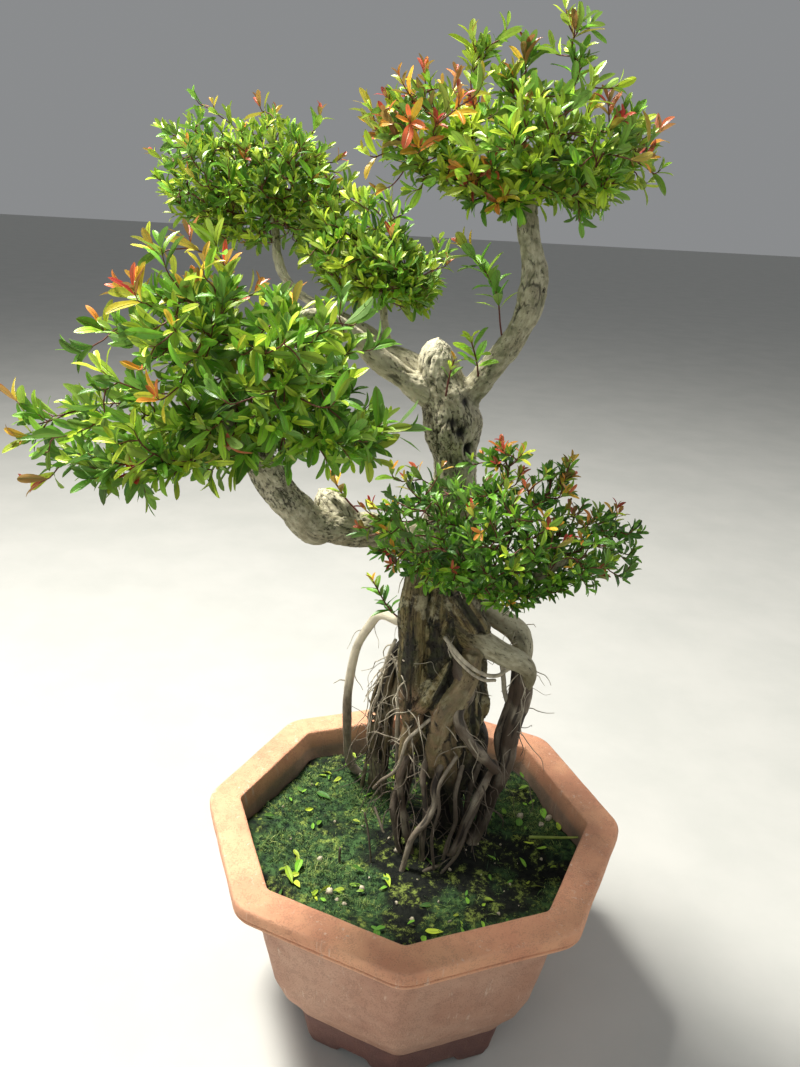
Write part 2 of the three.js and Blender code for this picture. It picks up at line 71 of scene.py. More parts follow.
def unit(vectors):
    """Vectors of length one."""
    vectors = np.asarray(vectors, float)
    length = np.linalg.norm(vectors, axis=-1, keepdims=True)
    return vectors / np.maximum(length, 1e-9)


def smooth_step(low, high, value):
    """0 below low, 1 above high, and a soft rise between them."""
    share = np.clip((value - low) / (high - low), 0, 1)
    return share * share * (3 - 2 * share)


# ---- Unevenness ---------------------------------------------------------------------------


def corner_values(cells, seed):
    """A fixed random number from -1 to 1 for each cell of a grid."""
    x, y, z = (cells[:, i].astype(np.uint64) for i in range(3))
    mixed = x * np.uint64(374761393) + y * np.uint64(668265263) + z * np.uint64(2246822519)
    mixed = (mixed + np.uint64(seed) * np.uint64(3266489917)) & np.uint64(0xFFFFFFFF)
    mixed = ((mixed ^ (mixed >> np.uint64(13))) * np.uint64(1274126177)) & np.uint64(0xFFFFFFFF)
    mixed = mixed ^ (mixed >> np.uint64(16))
    return mixed.astype(np.float64) / 2147483647.5 - 1


def bumps(points, size, seed):
    """Smooth unevenness from -1 to 1, with bumps about `size` across."""
    scaled = np.asarray(points, float) / size + 1000
    cells = np.floor(scaled).astype(np.int64)
    inside = scaled - cells
    inside = inside * inside * (3 - 2 * inside)
    total = np.zeros(len(scaled))
    for corner in np.ndindex(2, 2, 2):
        share = np.prod(np.where(corner, inside, 1 - inside), axis=1)
        total += share * corner_values(cells + np.array(corner), seed)
    return total


def rough(points, size, seed, layers=3):
    """Unevenness with finer bumps on the larger ones."""
    return sum(bumps(points, size / 2**i, seed + i) * 0.5**i for i in range(layers))


# ---- Meshes -------------------------------------------------------------------------------


def build_piece(name, points, quads, triangles=None, values=None, smooth=True):
    """One object from points in millimetres, its faces, and named values on its points."""
    quads = np.asarray(quads, np.int32).reshape(-1, 4)
    triangles = np.asarray([] if triangles is None else triangles, np.int32).reshape(-1, 3)
    mesh = bpy.data.meshes.new(name)
    mesh.vertices.add(len(points))
    mesh.vertices.foreach_set("co", to_metres(points).astype(np.float32).ravel())
    corners = np.concatenate([quads.ravel(), triangles.ravel()])
    starts = np.arange(len(quads)) * 4
    starts = np.concatenate([starts, len(quads) * 4 + np.arange(len(triangles)) * 3])
    mesh.loops.add(len(corners))
    mesh.loops.foreach_set("vertex_index", corners)
    mesh.polygons.add(len(starts))
    mesh.polygons.foreach_set("loop_start", starts.astype(np.int32))
    mesh.update(calc_edges=True)
    mesh.validate()
    add_all_values(mesh, values or {})
    if smooth:
        mesh.shade_smooth()
    piece = bpy.data.objects.new(name, mesh)
    bpy.context.scene.collection.objects.link(piece)
    return piece


def add_all_values(mesh, values):
    """Stores every named value on the points of a mesh."""
    for label, numbers in values.items():
        add_values(mesh, label, numbers)


def add_values(mesh, label, numbers):
    """Stores one number, or one vector, on each point of a mesh."""
    numbers = np.asarray(numbers, np.float32)
    kind, field = ("FLOAT", "value") if numbers.ndim == 1 else ("FLOAT_VECTOR", "vector")
    mesh.attributes.new(label, kind, "POINT").data.foreach_set(field, numbers.ravel())


def points_of(mesh):
    """The points of a mesh, in millimetres."""
    flat = np.empty(len(mesh.vertices) * 3, np.float32)
    mesh.vertices.foreach_get("co", flat)
    return to_millimetres(flat.reshape(-1, 3).astype(float))


def normals_of(mesh):
    """The way the surface faces at each point of a mesh."""
    flat = np.empty(len(mesh.vertices) * 3, np.float32)
    mesh.vertex_normals.foreach_get("vector", flat)
    return flat.reshape(-1, 3).astype(float)


def move_points(mesh, points):
    """Puts the points of a mesh at new places, in millimetres."""
    mesh.vertices.foreach_set("co", to_metres(points).astype(np.float32).ravel())
    mesh.update()


def edge_ends(mesh):
    """The two points at the ends of each edge of a mesh."""
    ends = np.empty(len(mesh.edges) * 2, np.int32)
    mesh.edges.foreach_get("vertices", ends)
    return ends.reshape(-1, 2).T


def neighbour_average(points, a, b):
    """The average of each point's neighbours, from the two ends of every edge."""
    count = np.bincount(a, minlength=len(points)) + np.bincount(b, minlength=len(points))
    total = np.empty_like(points)
    for axis in range(3):
        from_b = np.bincount(a, points[b, axis], len(points))
        total[:, axis] = from_b + np.bincount(b, points[a, axis], len(points))
    return total / np.maximum(count, 1)[:, None]


def relax(mesh, points, rounds):
    """Evens out a surface without shrinking it."""
    a, b = edge_ends(mesh)
    for share in [0.55, -0.52] * rounds:
        points = points + share * (neighbour_average(points, a, b) - points)
    return points


def soften_joints(mesh, points, owner, rounds=16):
    """Rounds the creases where one limb runs into another."""
    a, b = edge_ends(mesh)
    crossing = owner[a] != owner[b]
    soft = np.zeros(len(points))
    soft[a[crossing]] = 1
    soft[b[crossing]] = 1
    for _ in range(6):
        wider = soft.copy()
        np.maximum.at(wider, a, soft[b] * 0.86)
        np.maximum.at(wider, b, soft[a] * 0.86)
        soft = wider
    for _ in range(rounds):
        points = points + 0.6 * soft[:, None] * (neighbour_average(points, a, b) - points)
    return points


def ring_quads(rows, around):
    """The quads between rings of points that follow one another."""
    ring = np.arange(around)
    following = (ring + 1) % around
    below = np.arange(rows - 1)[:, None] * around
    above = below + around
    return np.stack([below + ring, below + following, above + following, above + ring], -1).reshape(-1, 4)


def ring_lids(rows, around):
    """The triangles that close the first and the last ring, each on a point after the rings."""
    ring = np.arange(around)
    following = (ring + 1) % around
    last = (rows - 1) * around
    first_lid = np.full(around, rows * around)
    first_fan = np.stack([following, ring, first_lid], -1)
    last_fan = np.stack([last + ring, last + following, first_lid + 1], -1)
    return np.vstack([first_fan, last_fan])


# ---- Limbs: lines with a thickness --------------------------------------------------------


def smooth_line(stations, step):
    """A smooth line through the given places [x, y, z, radius], one place every `step`."""
    stations = np.asarray(stations, float)
    before = 2 * stations[0] - stations[1]
    after = 2 * stations[-1] - stations[-2]
    given = np.vstack([before, stations, after])
    parts = []
    for i in range(1, len(given) - 2):
        a, b, c, d = given[i - 1 : i + 3]
        count = max(1, math.ceil(np.linalg.norm((c - b)[:3]) / step))
        t = np.arange(count)[:, None] / count
        bend = (c - a) * t + (2 * a - 5 * b + 4 * c - d) * t**2 + (3 * b - a - 3 * c + d) * t**3
        parts.append(b + bend / 2)
    line = np.vstack(parts + [stations[-1:]])
    low = stations[:, 3].min()
    line[:, 3] = np.clip(line[:, 3], low, stations[:, 3].max())
    return line


def frames_along(line):
    """Directions ahead, sideways and across at each place of a line, without twisting."""
    ahead = unit(np.gradient(line[:, :3], axis=0))
    side = np.cross(ahead[0], [0.31, 0.87, 0.38])
    sides = []
    for direction in ahead:
        side = unit(side - direction * side.dot(direction))
        sides.append(side)
    sides = np.array(sides)
    return ahead, sides, np.cross(ahead, sides)


def tube(line, around, unevenness=0.0, seed=0):
    """A closed round limb along a line: its points, its quads and its end triangles."""
    ahead, side, across = frames_along(line)
    angle = np.arange(around) * 2 * math.pi / around
    cosine, sine = np.cos(angle)[None, :, None], np.sin(angle)[None, :, None]
    spokes = cosine * side[:, None] + sine * across[:, None]
    reach = line[:, 3][:, None, None] * np.ones((1, around, 1))
    if unevenness:
        rough_skin = bumps((line[:, None, :3] + spokes * reach).reshape(-1, 3), 13, seed)
        reach = reach * (1 + unevenness * rough_skin.reshape(len(line), around, 1))
    rings = line[:, None, :3] + spokes * reach
    start = line[:1, :3] - ahead[:1] * line[0, 3] * 0.5
    end = line[-1:, :3] + ahead[-1:] * line[-1, 3] * 0.7
    points = np.vstack([rings.reshape(-1, 3), start, end])
    return points, ring_quads(len(line), around), ring_lids(len(line), around)


def gather(shapes):
    """Several (points, quads, triangles) as one."""
    points, quads, triangles = [], [], []
    count = 0
    for shape_points, shape_quads, shape_triangles in shapes:
        points.append(shape_points)
        quads.append(shape_quads + count)
        triangles.append(shape_triangles + count)
        count += len(shape_points)
    return np.vstack(points), np.vstack(quads), np.vstack(triangles)


# ---- Node tools ---------------------------------------------------------------------------


def paint(red, green, blue):
    """A colour given on the usual scale of 0 to 255, as the shaders take it."""
    shares = [c / 255 for c in (red, green, blue)]
    linear = [c / 12.92 if c < 0.04 else ((c + 0.055) / 1.055) ** 2.4 for c in shares]
    return (*linear, 1.0)


def feed(tree, value, socket):
    """Sets a socket, or links another socket to it."""
    if isinstance(value, bpy.types.NodeSocket):
        tree.links.new(value, socket)
    else:
        socket.default_value = value


def add(tree, kind, inputs=None, **settings):
    """A new node with its settings and inputs."""
    made = tree.nodes.new("ShaderNode" + kind)
    for name, value in settings.items():
        setattr(made, name, value)
    for name, value in (inputs or {}).items():
        feed(tree, value, made.inputs[name])
    return made


def calculate(tree, operation, a, b):
    """One calculation with two values."""
    made = add(tree, "Math", operation=operation)
    feed(tree, a, made.inputs[0])
    feed(tree, b, made.inputs[1])
    return made.outputs[0]


def times(tree, a, b):
    """One value multiplied by another."""
    return calculate(tree, "MULTIPLY", a, b)


def plus(tree, a, b):
    """Two values added."""
    return calculate(tree, "ADD", a, b)


def minus(tree, a, b):
    """One value less another."""
    return calculate(tree, "SUBTRACT", a, b)


def spread(tree, value, low, high, start=0.0, end=1.0):
    """A value's range from low to high, stretched softly to start to end."""
    inputs = {"Value": value, "From Min": low, "From Max": high, "To Min": start, "To Max": end}
    return add(tree, "MapRange", inputs, interpolation_type="SMOOTHSTEP").outputs[0]


def blend(tree, share, first, second, mode="MIX"):
    """Two colours mixed."""
    made = add(tree, "Mix", data_type="RGBA", blend_type=mode)
    feed(tree, share, made.inputs[0])
    feed(tree, first, made.inputs[6])
    feed(tree, second, made.inputs[7])
    return made.outputs[2]


def coat(tree, colour, mask, amount, over):
    """A colour with another laid over it, by an amount, where the mask is high."""
    return blend(tree, times(tree, mask, amount), colour, over)


def stretched(tree, vector, scale):
    """Coordinates with each axis scaled."""
    return add(tree, "Mapping", {"Vector": vector, "Scale": scale}).outputs[0]


def cloud(tree, vector, scale, detail=4.0, roughness=0.6):
    """A cloudy value from 0 to 1."""
    inputs = {"Vector": vector, "Scale": scale, "Detail": detail, "Roughness": roughness}
    return add(tree, "TexNoise", inputs).outputs[0]


def ramp(tree, value, stops):
    """Colours along a value: (place, colour) pairs."""
    made = add(tree, "ValToRGB", {"Fac": value})
    marks = made.color_ramp.elements
    while len(marks) < len(stops):
        marks.new(0.5)
    for mark, (place, colour) in zip(marks, stops):
        mark.position = place
        mark.color = colour
    return made.outputs[0]


def stored(tree, label, vector=False):
    """A value, or a vector, kept on the mesh's points."""
    made = add(tree, "Attribute", attribute_name=label)
    return made.outputs["Vector" if vector else "Fac"]


def new_group(name, takes, gives):
    """An empty node group with named sockets, its tree and its two end nodes."""
    tree = bpy.data.node_groups.new(name, "ShaderNodeTree")
    for label, kind, start in takes:
        socket = tree.interface.new_socket(label, in_out="INPUT", socket_type="NodeSocket" + kind)
        if start is not None:
            socket.default_value = start
    for label, kind in gives:
        tree.interface.new_socket(label, in_out="OUTPUT", socket_type="NodeSocket" + kind)
    return tree, tree.nodes.new("NodeGroupInput"), tree.nodes.new("NodeGroupOutput")


def place_group(tree, group, inputs):
    """A group placed in a material; its outputs."""
    made = tree.nodes.new("ShaderNodeGroup")
    made.node_tree = group
    for name, value in inputs.items():
        feed(tree, value, made.inputs[name])
    return made.outputs


def new_material(name):
    """A material with a Principled shader, its tree, the shader and the object coordinates."""
    material = bpy.data.materials.new(name)
    material.use_nodes = True
    tree = material.node_tree
    shader = tree.nodes["Principled BSDF"]
    where = add(tree, "TexCoord").outputs["Object"]
    return material, tree, shader, where


# ---- Effects that several finishes share --------------------------------------------------


def mottle_group():
    """Two colours in soft cloudy patches."""
    takes = [("Vector", "Vector", None), ("Scale", "Float", 60.0), ("Sharpness", "Float", 0.5)]
    takes += [("First", "Color", None), ("Second", "Color", None)]
    tree, start, end = new_group("Mottle", takes, [("Color", "Color"), ("Mask", "Float")])
    patches = cloud(tree, start.outputs["Vector"], start.outputs["Scale"], 5.0, 0.62)
    width = times(tree, minus(tree, 1.05, start.outputs["Sharpness"]), 0.28)
    low = minus(tree, 0.5, width)
    high = plus(tree, 0.5, width)
    mask = spread(tree, patches, low, high)
    colour = blend(tree, mask, start.outputs["First"], start.outputs["Second"])
    tree.links.new(colour, end.inputs["Color"])
    tree.links.new(mask, end.inputs["Mask"])
    return tree


def speckle_group():
    """Small irregular specks, as a mask."""
    takes = [("Vector", "Vector", None), ("Scale", "Float", 900.0), ("Amount", "Float", 0.3)]
    tree, start, end = new_group("Speckle", takes, [("Mask", "Float")])
    inputs = {"Vector": start.outputs["Vector"], "Scale": start.outputs["Scale"], "Randomness": 1.0}
    cells = add(tree, "TexVoronoi", inputs).outputs["Distance"]
    patches = cloud(tree, start.outputs["Vector"], times(tree, start.outputs["Scale"], 0.16), 4.0)
    reach = times(tree, times(tree, patches, patches), start.outputs["Amount"])
    reach = times(tree, reach, 3.0)
    mask = spread(tree, minus(tree, reach, cells), -0.05, 0.12)
    tree.links.new(mask, end.inputs["Mask"])
    return tree


def grain_group():
    """Fine relief, stretched along one way, as a height."""
    takes = [("Vector", "Vector", None), ("Scale", "Float", 700.0), ("Stretch", "Vector", None)]
    tree, start, end = new_group("Grain", takes, [("Height", "Float")])
    made = add(tree, "VectorMath", operation="MULTIPLY")
    tree.links.new(start.outputs["Vector"], made.inputs[0])
    tree.links.new(start.outputs["Stretch"], made.inputs[1])
    fine = cloud(tree, made.outputs[0], start.outputs["Scale"], 5.0, 0.7)
    coarse = cloud(tree, made.outputs[0], times(tree, start.outputs["Scale"], 0.3), 3.0, 0.5)
    height = plus(tree, times(tree, fine, 0.6), times(tree, coarse, 0.4))
    tree.links.new(height, end.inputs["Height"])
    return tree


def leaf_colour_group():
    """Leaf colour from its age, its own shade, and the rib along its middle."""
    takes = [
        ("Age", "Float", 0.3), ("Shade", "Float", 0.5), ("Across", "Float", 0.5),
        ("Along", "Float", 0.5)
    ]
    tree, start, end = new_group("Leaf colour", takes, [("Color", "Color"), ("Rib", "Float")])
    stops = [
        (0.0, paint(32, 62, 24)),
        (0.25, paint(66, 118, 36)),
        (0.48, paint(124, 184, 50)),
        (0.66, paint(198, 220, 64)),
        (0.8, paint(240, 172, 56)),
        (0.9, paint(226, 112, 74)),
        (1.0, paint(176, 50, 50)),
    ]
    colour = ramp(tree, start.outputs["Age"], stops)
    shade = spread(tree, start.outputs["Shade"], 0.0, 1.0, 0.62, 1.3)
    tint = add(tree, "CombineColor", {"Red": shade, "Green": shade, "Blue": shade}).outputs[0]
    colour = blend(tree, 1.0, colour, tint, "MULTIPLY")
    rib = spread(tree, start.outputs["Across"], 0.0, 0.16, 1.0, 0.0)
    colour = coat(tree, colour, rib, 0.45, paint(176, 188, 96))
    edge = spread(tree, start.outputs["Along"], 0.85, 1.0, 0.0, 0.16)
    colour = blend(tree, edge, colour, paint(168, 136, 60))
    tree.links.new(colour, end.inputs["Color"])
    tree.links.new(rib, end.inputs["Rib"])
    return tree


MOTTLE = mottle_group()
SPECKLE = speckle_group()
GRAIN = grain_group()
LEAF_COLOUR = leaf_colour_group()


def mottle(tree, where, scale, sharpness, *colours):
    """Two colours in soft cloudy patches; the outputs of the shared effect."""
    inputs = {"Vector": where, "Scale": scale, "Sharpness": sharpness}
    inputs.update(zip(("First", "Second"), colours))
    return place_group(tree, MOTTLE, inputs)


def speckle(tree, where, scale, amount):
    """Small irregular specks, as a mask."""
    return place_group(tree, SPECKLE, {"Vector": where, "Scale": scale, "Amount": amount})["Mask"]


def grain(tree, where, scale, stretch=(1, 1, 1)):
    """Fine relief, as a height."""
    inputs = {"Vector": where, "Scale": scale, "Stretch": stretch}
    return place_group(tree, GRAIN, inputs)["Height"]


def finish(tree, shader, colour, roughness):
    """Sets a shader's colour and roughness."""
    feed(tree, colour, shader.inputs["Base Color"])
    feed(tree, roughness, shader.inputs["Roughness"])


def set_relief(tree, shader, height, distance):
    """Gives a shader a bump of the given depth, in metres."""
    inputs = {"Height": height, "Distance": distance, "Strength": 1.0}
    feed(tree, add(tree, "Bump", inputs).outputs[0], shader.inputs["Normal"])


# ---- Finishes -----------------------------------------------------------------------------


FOOT_BAND_EDGE = (0.0297, 0.0312)  # metres above the table, where the darker foot ends
LIP_EDGE = (0.1315, 0.134)  # metres above the table, where the paler lip starts


def terracotta():
    """Fired clay: peach on the lip, dusty and scuffed on the body, purple-brown at the foot."""
    material, tree, shader, where = new_material("Terracotta")
    height = add(tree, "SeparateXYZ", {"Vector": where}).outputs[2]
    wander = times(tree, cloud(tree, where, 90.0), 0.003)
    level = plus(tree, height, wander)
    lip = clay_colour(tree, where, paint(232, 176, 136), paint(214, 148, 114))
    body = clay_colour(tree, where, paint(204, 164, 140), paint(184, 138, 114))
    foot = clay_colour(tree, where, paint(132, 96, 84), paint(102, 70, 66))
    colour = blend(tree, spread(tree, level, *FOOT_BAND_EDGE), foot, body)
    colour = blend(tree, spread(tree, level, *LIP_EDGE), colour, lip)
    smudges = spread(tree, cloud(tree, where, 24.0, 3.0, 0.5), 0.5, 0.72)
    colour = coat(tree, colour, smudges, 0.28, paint(140, 88, 72))
    scratches = clay_scratches(tree, where)
    scuffed = times(tree, scratches, spread(tree, level, *FOOT_BAND_EDGE, 0.12, 0.6))
    colour = blend(tree, scuffed, colour, paint(232, 208, 186))
    specks = speckle(tree, where, 900.0, 0.5)
    colour = coat(tree, colour, specks, 0.16, paint(110, 80, 68))
    damp = spread(tree, cloud(tree, where, 38.0), 0.3, 0.62, 0.5, 1.0)
    stain = times(tree, stored(tree, "inside"), damp)
    colour = coat(tree, colour, stain, 0.85, paint(98, 88, 72))
    edge = spread(tree, add(tree, "NewGeometry").outputs["Pointiness"], 0.52, 0.6)
    colour = coat(tree, colour, edge, 0.45, paint(232, 190, 158))
    finish(tree, shader, colour, spread(tree, scratches, 0.0, 1.0, 0.74, 0.92))
    relief = grain(tree, where, 500.0)
    relief = minus(tree, relief, times(tree, plus(tree, specks, scratches), 0.3))
    set_relief(tree, shader, relief, 0.0007)
    return material


def clay_colour(tree, where, light, dark):
    """One clay colour in soft patches, with a fine sandy grain over them."""
    patches = mottle(tree, where, 30.0, 0.0, light, dark)
    sand = cloud(tree, where, 1400.0, 2.0, 0.5)
    return blend(tree, spread(tree, sand, 0.35, 0.75, 0.0, 0.3), patches["Color"], dark)


def clay_scratches(tree, where):
    """Thin pale scuffs that cross the clay in two ways, as a mask."""
    masks = []
    for turn, scale in [((0.5, 0.2, 0.9), 300.0), ((-0.7, 0.5, -0.4), 240.0)]:
        turned = add(tree, "Mapping", {"Vector": where, "Rotation": turn, "Scale": (1, 1, 0.09)}).outputs[0]
        lines = cloud(tree, turned, scale, 3.0, 0.6)
        masks.append(spread(tree, lines, 0.61, 0.72))
    patchy = spread(tree, cloud(tree, where, 50.0, 3.0), 0.42, 0.6)
    return times(tree, calculate(tree, "MAXIMUM", masks[0], masks[1]), patchy)


def potting_soil():
    """Dark crumbly soil."""
    material, tree, shader, where = new_material("Potting soil")
    colour = mottle(tree, where, 240.0, 0.6, paint(48, 38, 28), paint(88, 72, 54))["Color"]
    grit = speckle(tree, where, 400.0, 0.3)
    colour = coat(tree, colour, grit, 0.5, paint(120, 108, 88))
    finish(tree, shader, colour, 0.95)
    relief = grain(tree, where, 300.0)
    set_relief(tree, shader, relief, 0.002)
    return material


def mossy_ground():
    """Very dark soil under patches of moss, painted shadow where it shows in front of the trunk: dark
    hollows, green mounds and yellow-green patches of painted sunlight.
    """
    material, tree, shader, where = new_material("Mossy ground")
    # The soil is near black; where it shows in front of the trunk it is painted shadow.
    soil = mottle(tree, where, 260.0, 0.6, paint(8, 12, 10), paint(26, 29, 23))["Color"]
    moss = mottle(tree, where, 230.0, 0.5, paint(18, 34, 26), paint(72, 104, 58))["Color"]
    colour = blend(tree, spread(tree, stored(tree, "moss_cover_and_shade"), 0.15, 0.65), soil, moss)
    # Painted sunlight: bright yellow-green patches laid over the moss.
    painted_sunlit_patches = spread(tree, cloud(tree, where, 110.0, 9.0, 0.8), 0.52, 0.64)
    colour = coat(tree, colour, painted_sunlit_patches, 0.75, paint(148, 166, 78))
    finish(tree, shader, colour, 0.9)
    shader.inputs["Specular IOR Level"].default_value = 0.2
    relief = grain(tree, where, 520.0)
    set_relief(tree, shader, relief, 0.0016)
    return material


def moss_blades():
    """Fine moss and grass-like threads."""
    material, tree, shader, where = new_material("Moss blades")
    shade = stored(tree, "shade")
    stops = [
        (0.0, paint(16, 32, 18)), (0.42, paint(42, 74, 40)), (0.72, paint(98, 132, 62)),
        (1.0, paint(176, 188, 108))
    ]
    colour = ramp(tree, shade, stops)
    mottled = cloud(tree, where, 700.0)
    colour = blend(tree, spread(tree, mottled, 0.4, 0.7, 0.0, 0.4), colour, paint(44, 58, 28))
    finish(tree, shader, colour, 0.7)
    set_relief(tree, shader, mottled, 0.0004)
    return material


def bark(name, pale, mid, dark, tan):
    """Wood bark: flecks, cracks, old streaky wood, bare tan patches, grain along each limb, and painted
    shade in crevices and hollows.
    """
    material, tree, shader, where = new_material(name)
    along = stored(tree, "grain", vector=True)
    bright = stored(tree, "bright")
    skin = mottle(tree, stretched(tree, along, (1, 1, 0.35)), 420.0, 0.1, mid, pale)["Color"]
    colour = blend(tree, bright, mid, skin)
    lichen = mottle(tree, where, 130.0, 0.3)["Mask"]
    colour = blend(tree, times(tree, times(tree, lichen, bright), 0.6), colour, pale)
    worn = spread(tree, cloud(tree, where, 110.0, 5.0), 0.3, 0.55, 0.45, 1.0)
    colour = blend(tree, times(tree, stored(tree, "bare"), worn), colour, pale)
    lines = cloud(tree, stretched(tree, along, (1, 1, 0.08)), 190.0, 6.0, 0.68)
    stops = [
        (0.34, paint(22, 17, 10)),
        (0.44, paint(74, 60, 32)),
        (0.52, paint(122, 106, 62)),
        (0.6, paint(150, 138, 98)),
        (0.7, paint(206, 198, 164)),
    ]
    rotten = stored(tree, "rotten")
    colour = blend(tree, rotten, colour, ramp(tree, lines, stops))
    broad = cloud(tree, stretched(tree, along, (1, 1, 0.14)), 80.0, 4.0, 0.6)
    dusk = times(tree, rotten, spread(tree, broad, 0.5, 0.64, 0.0, 0.75))
    colour = blend(tree, dusk, colour, paint(24, 18, 11))
    crust = spread(tree, cloud(tree, where, 62.0, 7.0, 0.7), 0.53, 0.62, 0.0, 0.7)
    colour = blend(tree, times(tree, rotten, crust), colour, paint(184, 176, 142))
    patch = plus(tree, stored(tree, "tan"), times(tree, cloud(tree, where, 160.0), 0.7))
    colour = blend(tree, spread(tree, patch, 0.6, 1.05, 0.0, 0.85), colour, tan)
    flecks = bark_flecks(tree, along)
    colour = coat(tree, colour, flecks, 0.75, dark)
    # Dark cracks of the bark, with painted shade in the hollows, the crease and the grooves.
    dark_cracks_and_shade = spread(tree, stored(tree, "cracks_and_crevice_shade"), 0.3, 0.95)
    colour = coat(tree, colour, dark_cracks_and_shade, 0.95, dark)
    colour = blend(tree, stored(tree, "shadow"), colour, paint(14, 11, 8))
    green = times(tree, stored(tree, "green"), spread(tree, cloud(tree, where, 180.0), 0.45, 0.62))
    colour = coat(tree, colour, green, 0.6, paint(76, 82, 40))
    finish(tree, shader, colour, spread(tree, flecks, 0.0, 1.0, 0.72, 0.95))
    relief = grain(tree, along, 900.0, (1, 1, 0.3))
    relief = minus(tree, relief, times(tree, flecks, 0.5))
    set_relief(tree, shader, relief, 0.0009)
    return material


def bark_flecks(tree, along):
    """Dark ragged flecks, crowded in some places and few in others, as a mask."""
    fine = cloud(tree, stretched(tree, along, (1, 1, 0.55)), 620.0, 6.0, 0.78)
    crowded = times(tree, cloud(tree, along, 75.0, 4.0, 0.6), 0.34)
    fewer = times(tree, stored(tree, "clean"), 0.16)
    return spread(tree, minus(tree, plus(tree, fine, crowded), fewer), 0.72, 0.8)


def twig_bark():
    """Twigs: grey-brown where old, red-brown and smooth where young."""
    material, tree, shader, where = new_material("Twig bark")
    stops = [
        (0.0, paint(116, 104, 82)),
        (0.45, paint(88, 64, 46)),
        (0.8, paint(104, 48, 40)),
        (1.0, paint(130, 84, 46)),
    ]
    colour = ramp(tree, stored(tree, "youth"), stops)
    marks = cloud(tree, where, 600.0)
    colour = blend(tree, spread(tree, marks, 0.45, 0.7, 0.0, 0.55), colour, paint(60, 46, 34))
    finish(tree, shader, colour, spread(tree, marks, 0.3, 0.7, 0.5, 0.75))
    set_relief(tree, shader, marks, 0.0003)
    return material


def leaf_finish(name, gloss, underside, see_through):
    """Leaves: glossy above, paler and matt below, and light comes through them."""
    material, tree, shader, where = new_material(name)
    takes = {label: stored(tree, label.lower()) for label in ("Age", "Shade", "Across", "Along")}
    leaf = place_group(tree, LEAF_COLOUR, takes)
    blotches = cloud(tree, where, 260.0)
    colour = blend(tree, spread(tree, blotches, 0.45, 0.75, 0.0, 0.22), leaf["Color"], paint(40, 80, 24))
    behind = add(tree, "NewGeometry").outputs["Backfacing"]
    colour = coat(tree, colour, behind, 0.5, underside)
    sheen = plus(tree, gloss, times(tree, blotches, 0.16))
    finish(tree, shader, colour, plus(tree, times(tree, behind, 0.3), sheen))
    veins = cloud(tree, where, 900.0, 3.0)
    relief = minus(tree, times(tree, veins, 0.5), leaf["Rib"])
    set_relief(tree, shader, relief, 0.0003)
    through = add(tree, "BsdfTranslucent", {"Color": colour})
    both = add(tree, "MixShader", {0: see_through, 1: shader.outputs[0], 2: through.outputs[0]})
    tree.links.new(both.outputs[0], tree.nodes["Material Output"].inputs["Surface"])
    return material


def pale_stone():
    """Small worn pebbles and bits of grit."""
    material, tree, shader, where = new_material("Pale stone")
    colour = mottle(tree, where, 320.0, 0.4, paint(150, 140, 116), paint(212, 202, 176))["Color"]
    specks = speckle(tree, where, 1100.0, 0.3)
    colour = coat(tree, colour, specks, 0.5, paint(88, 78, 60))
    finish(tree, shader, colour, 0.85)
    relief = grain(tree, where, 900.0)
    set_relief(tree, shader, relief, 0.0005)
    return material


def green_stem():
    """A fresh cut stem: yellow-green, in long patches."""
    material, tree, shader, where = new_material("Green stem")
    lengthways = stretched(tree, where, (0.3, 1, 1))
    patches = mottle(tree, lengthways, 260.0, 0.4, paint(108, 132, 48), paint(168, 182, 84))
    finish(tree, shader, patches["Color"], 0.5)
    set_relief(tree, shader, patches["Mask"], 0.0004)
    return material


def pale_floor():
    """A plain pale table top."""
    material, tree, shader, where = new_material("Pale floor")
    patches = mottle(tree, where, 9.0, 0.2, paint(178, 179, 174), paint(186, 186, 181))
    finish(tree, shader, patches["Color"], 0.6)
    return material


def dress(piece, material, slot=None, *stands_for):
    """Gives a piece its finish and its body, and hides the CAD nodes that it shows; the slot is not used.
    """
    piece.data.materials.clear()
    piece.data.materials.append(material)
    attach(piece, "root")
    if stands_for:
        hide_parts(*stands_for)
    return piece


# ---- Pot ----------------------------------------------------------------------------------

ARC_STEPS = 6
FLAT_STEPS = 14
LEVEL_GAP = 2.6
FLOOR_BOTTOM = 5
FLOOR_TOP = 16
DRAIN_RADIUS = 7.0
DRAIN_RING = 30


def octagon_ring(apothem, corner_round, height):
    """One level of the pot: an octagon with rounded corners, corners on the X and Y axes."""
    half = math.pi / 8
    corner_round = min(corner_round, apothem * 0.9)
    places = []
    for side in range(8):
        middle = side * math.pi / 4
        reach = (apothem - corner_round) / math.cos(half)
        centre = reach * np.array([math.cos(middle), math.sin(middle)])
        turns = middle + np.linspace(-half, half, ARC_STEPS + 1)
        arc = centre + corner_round * np.stack([np.cos(turns), np.sin(turns)], -1)
        ahead = middle + math.pi / 4
        next_centre = reach * np.array([math.cos(ahead), math.sin(ahead)])
        next_start = next_centre + corner_round * np.array([math.cos(ahead - half), math.sin(ahead - half)])
        shares = np.arange(1, FLAT_STEPS)[:, None] / FLAT_STEPS
        places += [arc, arc[-1] + (next_start - arc[-1]) * shares]
    flat = np.vstack(places)
    return np.column_stack([flat, np.full(len(flat), height)])


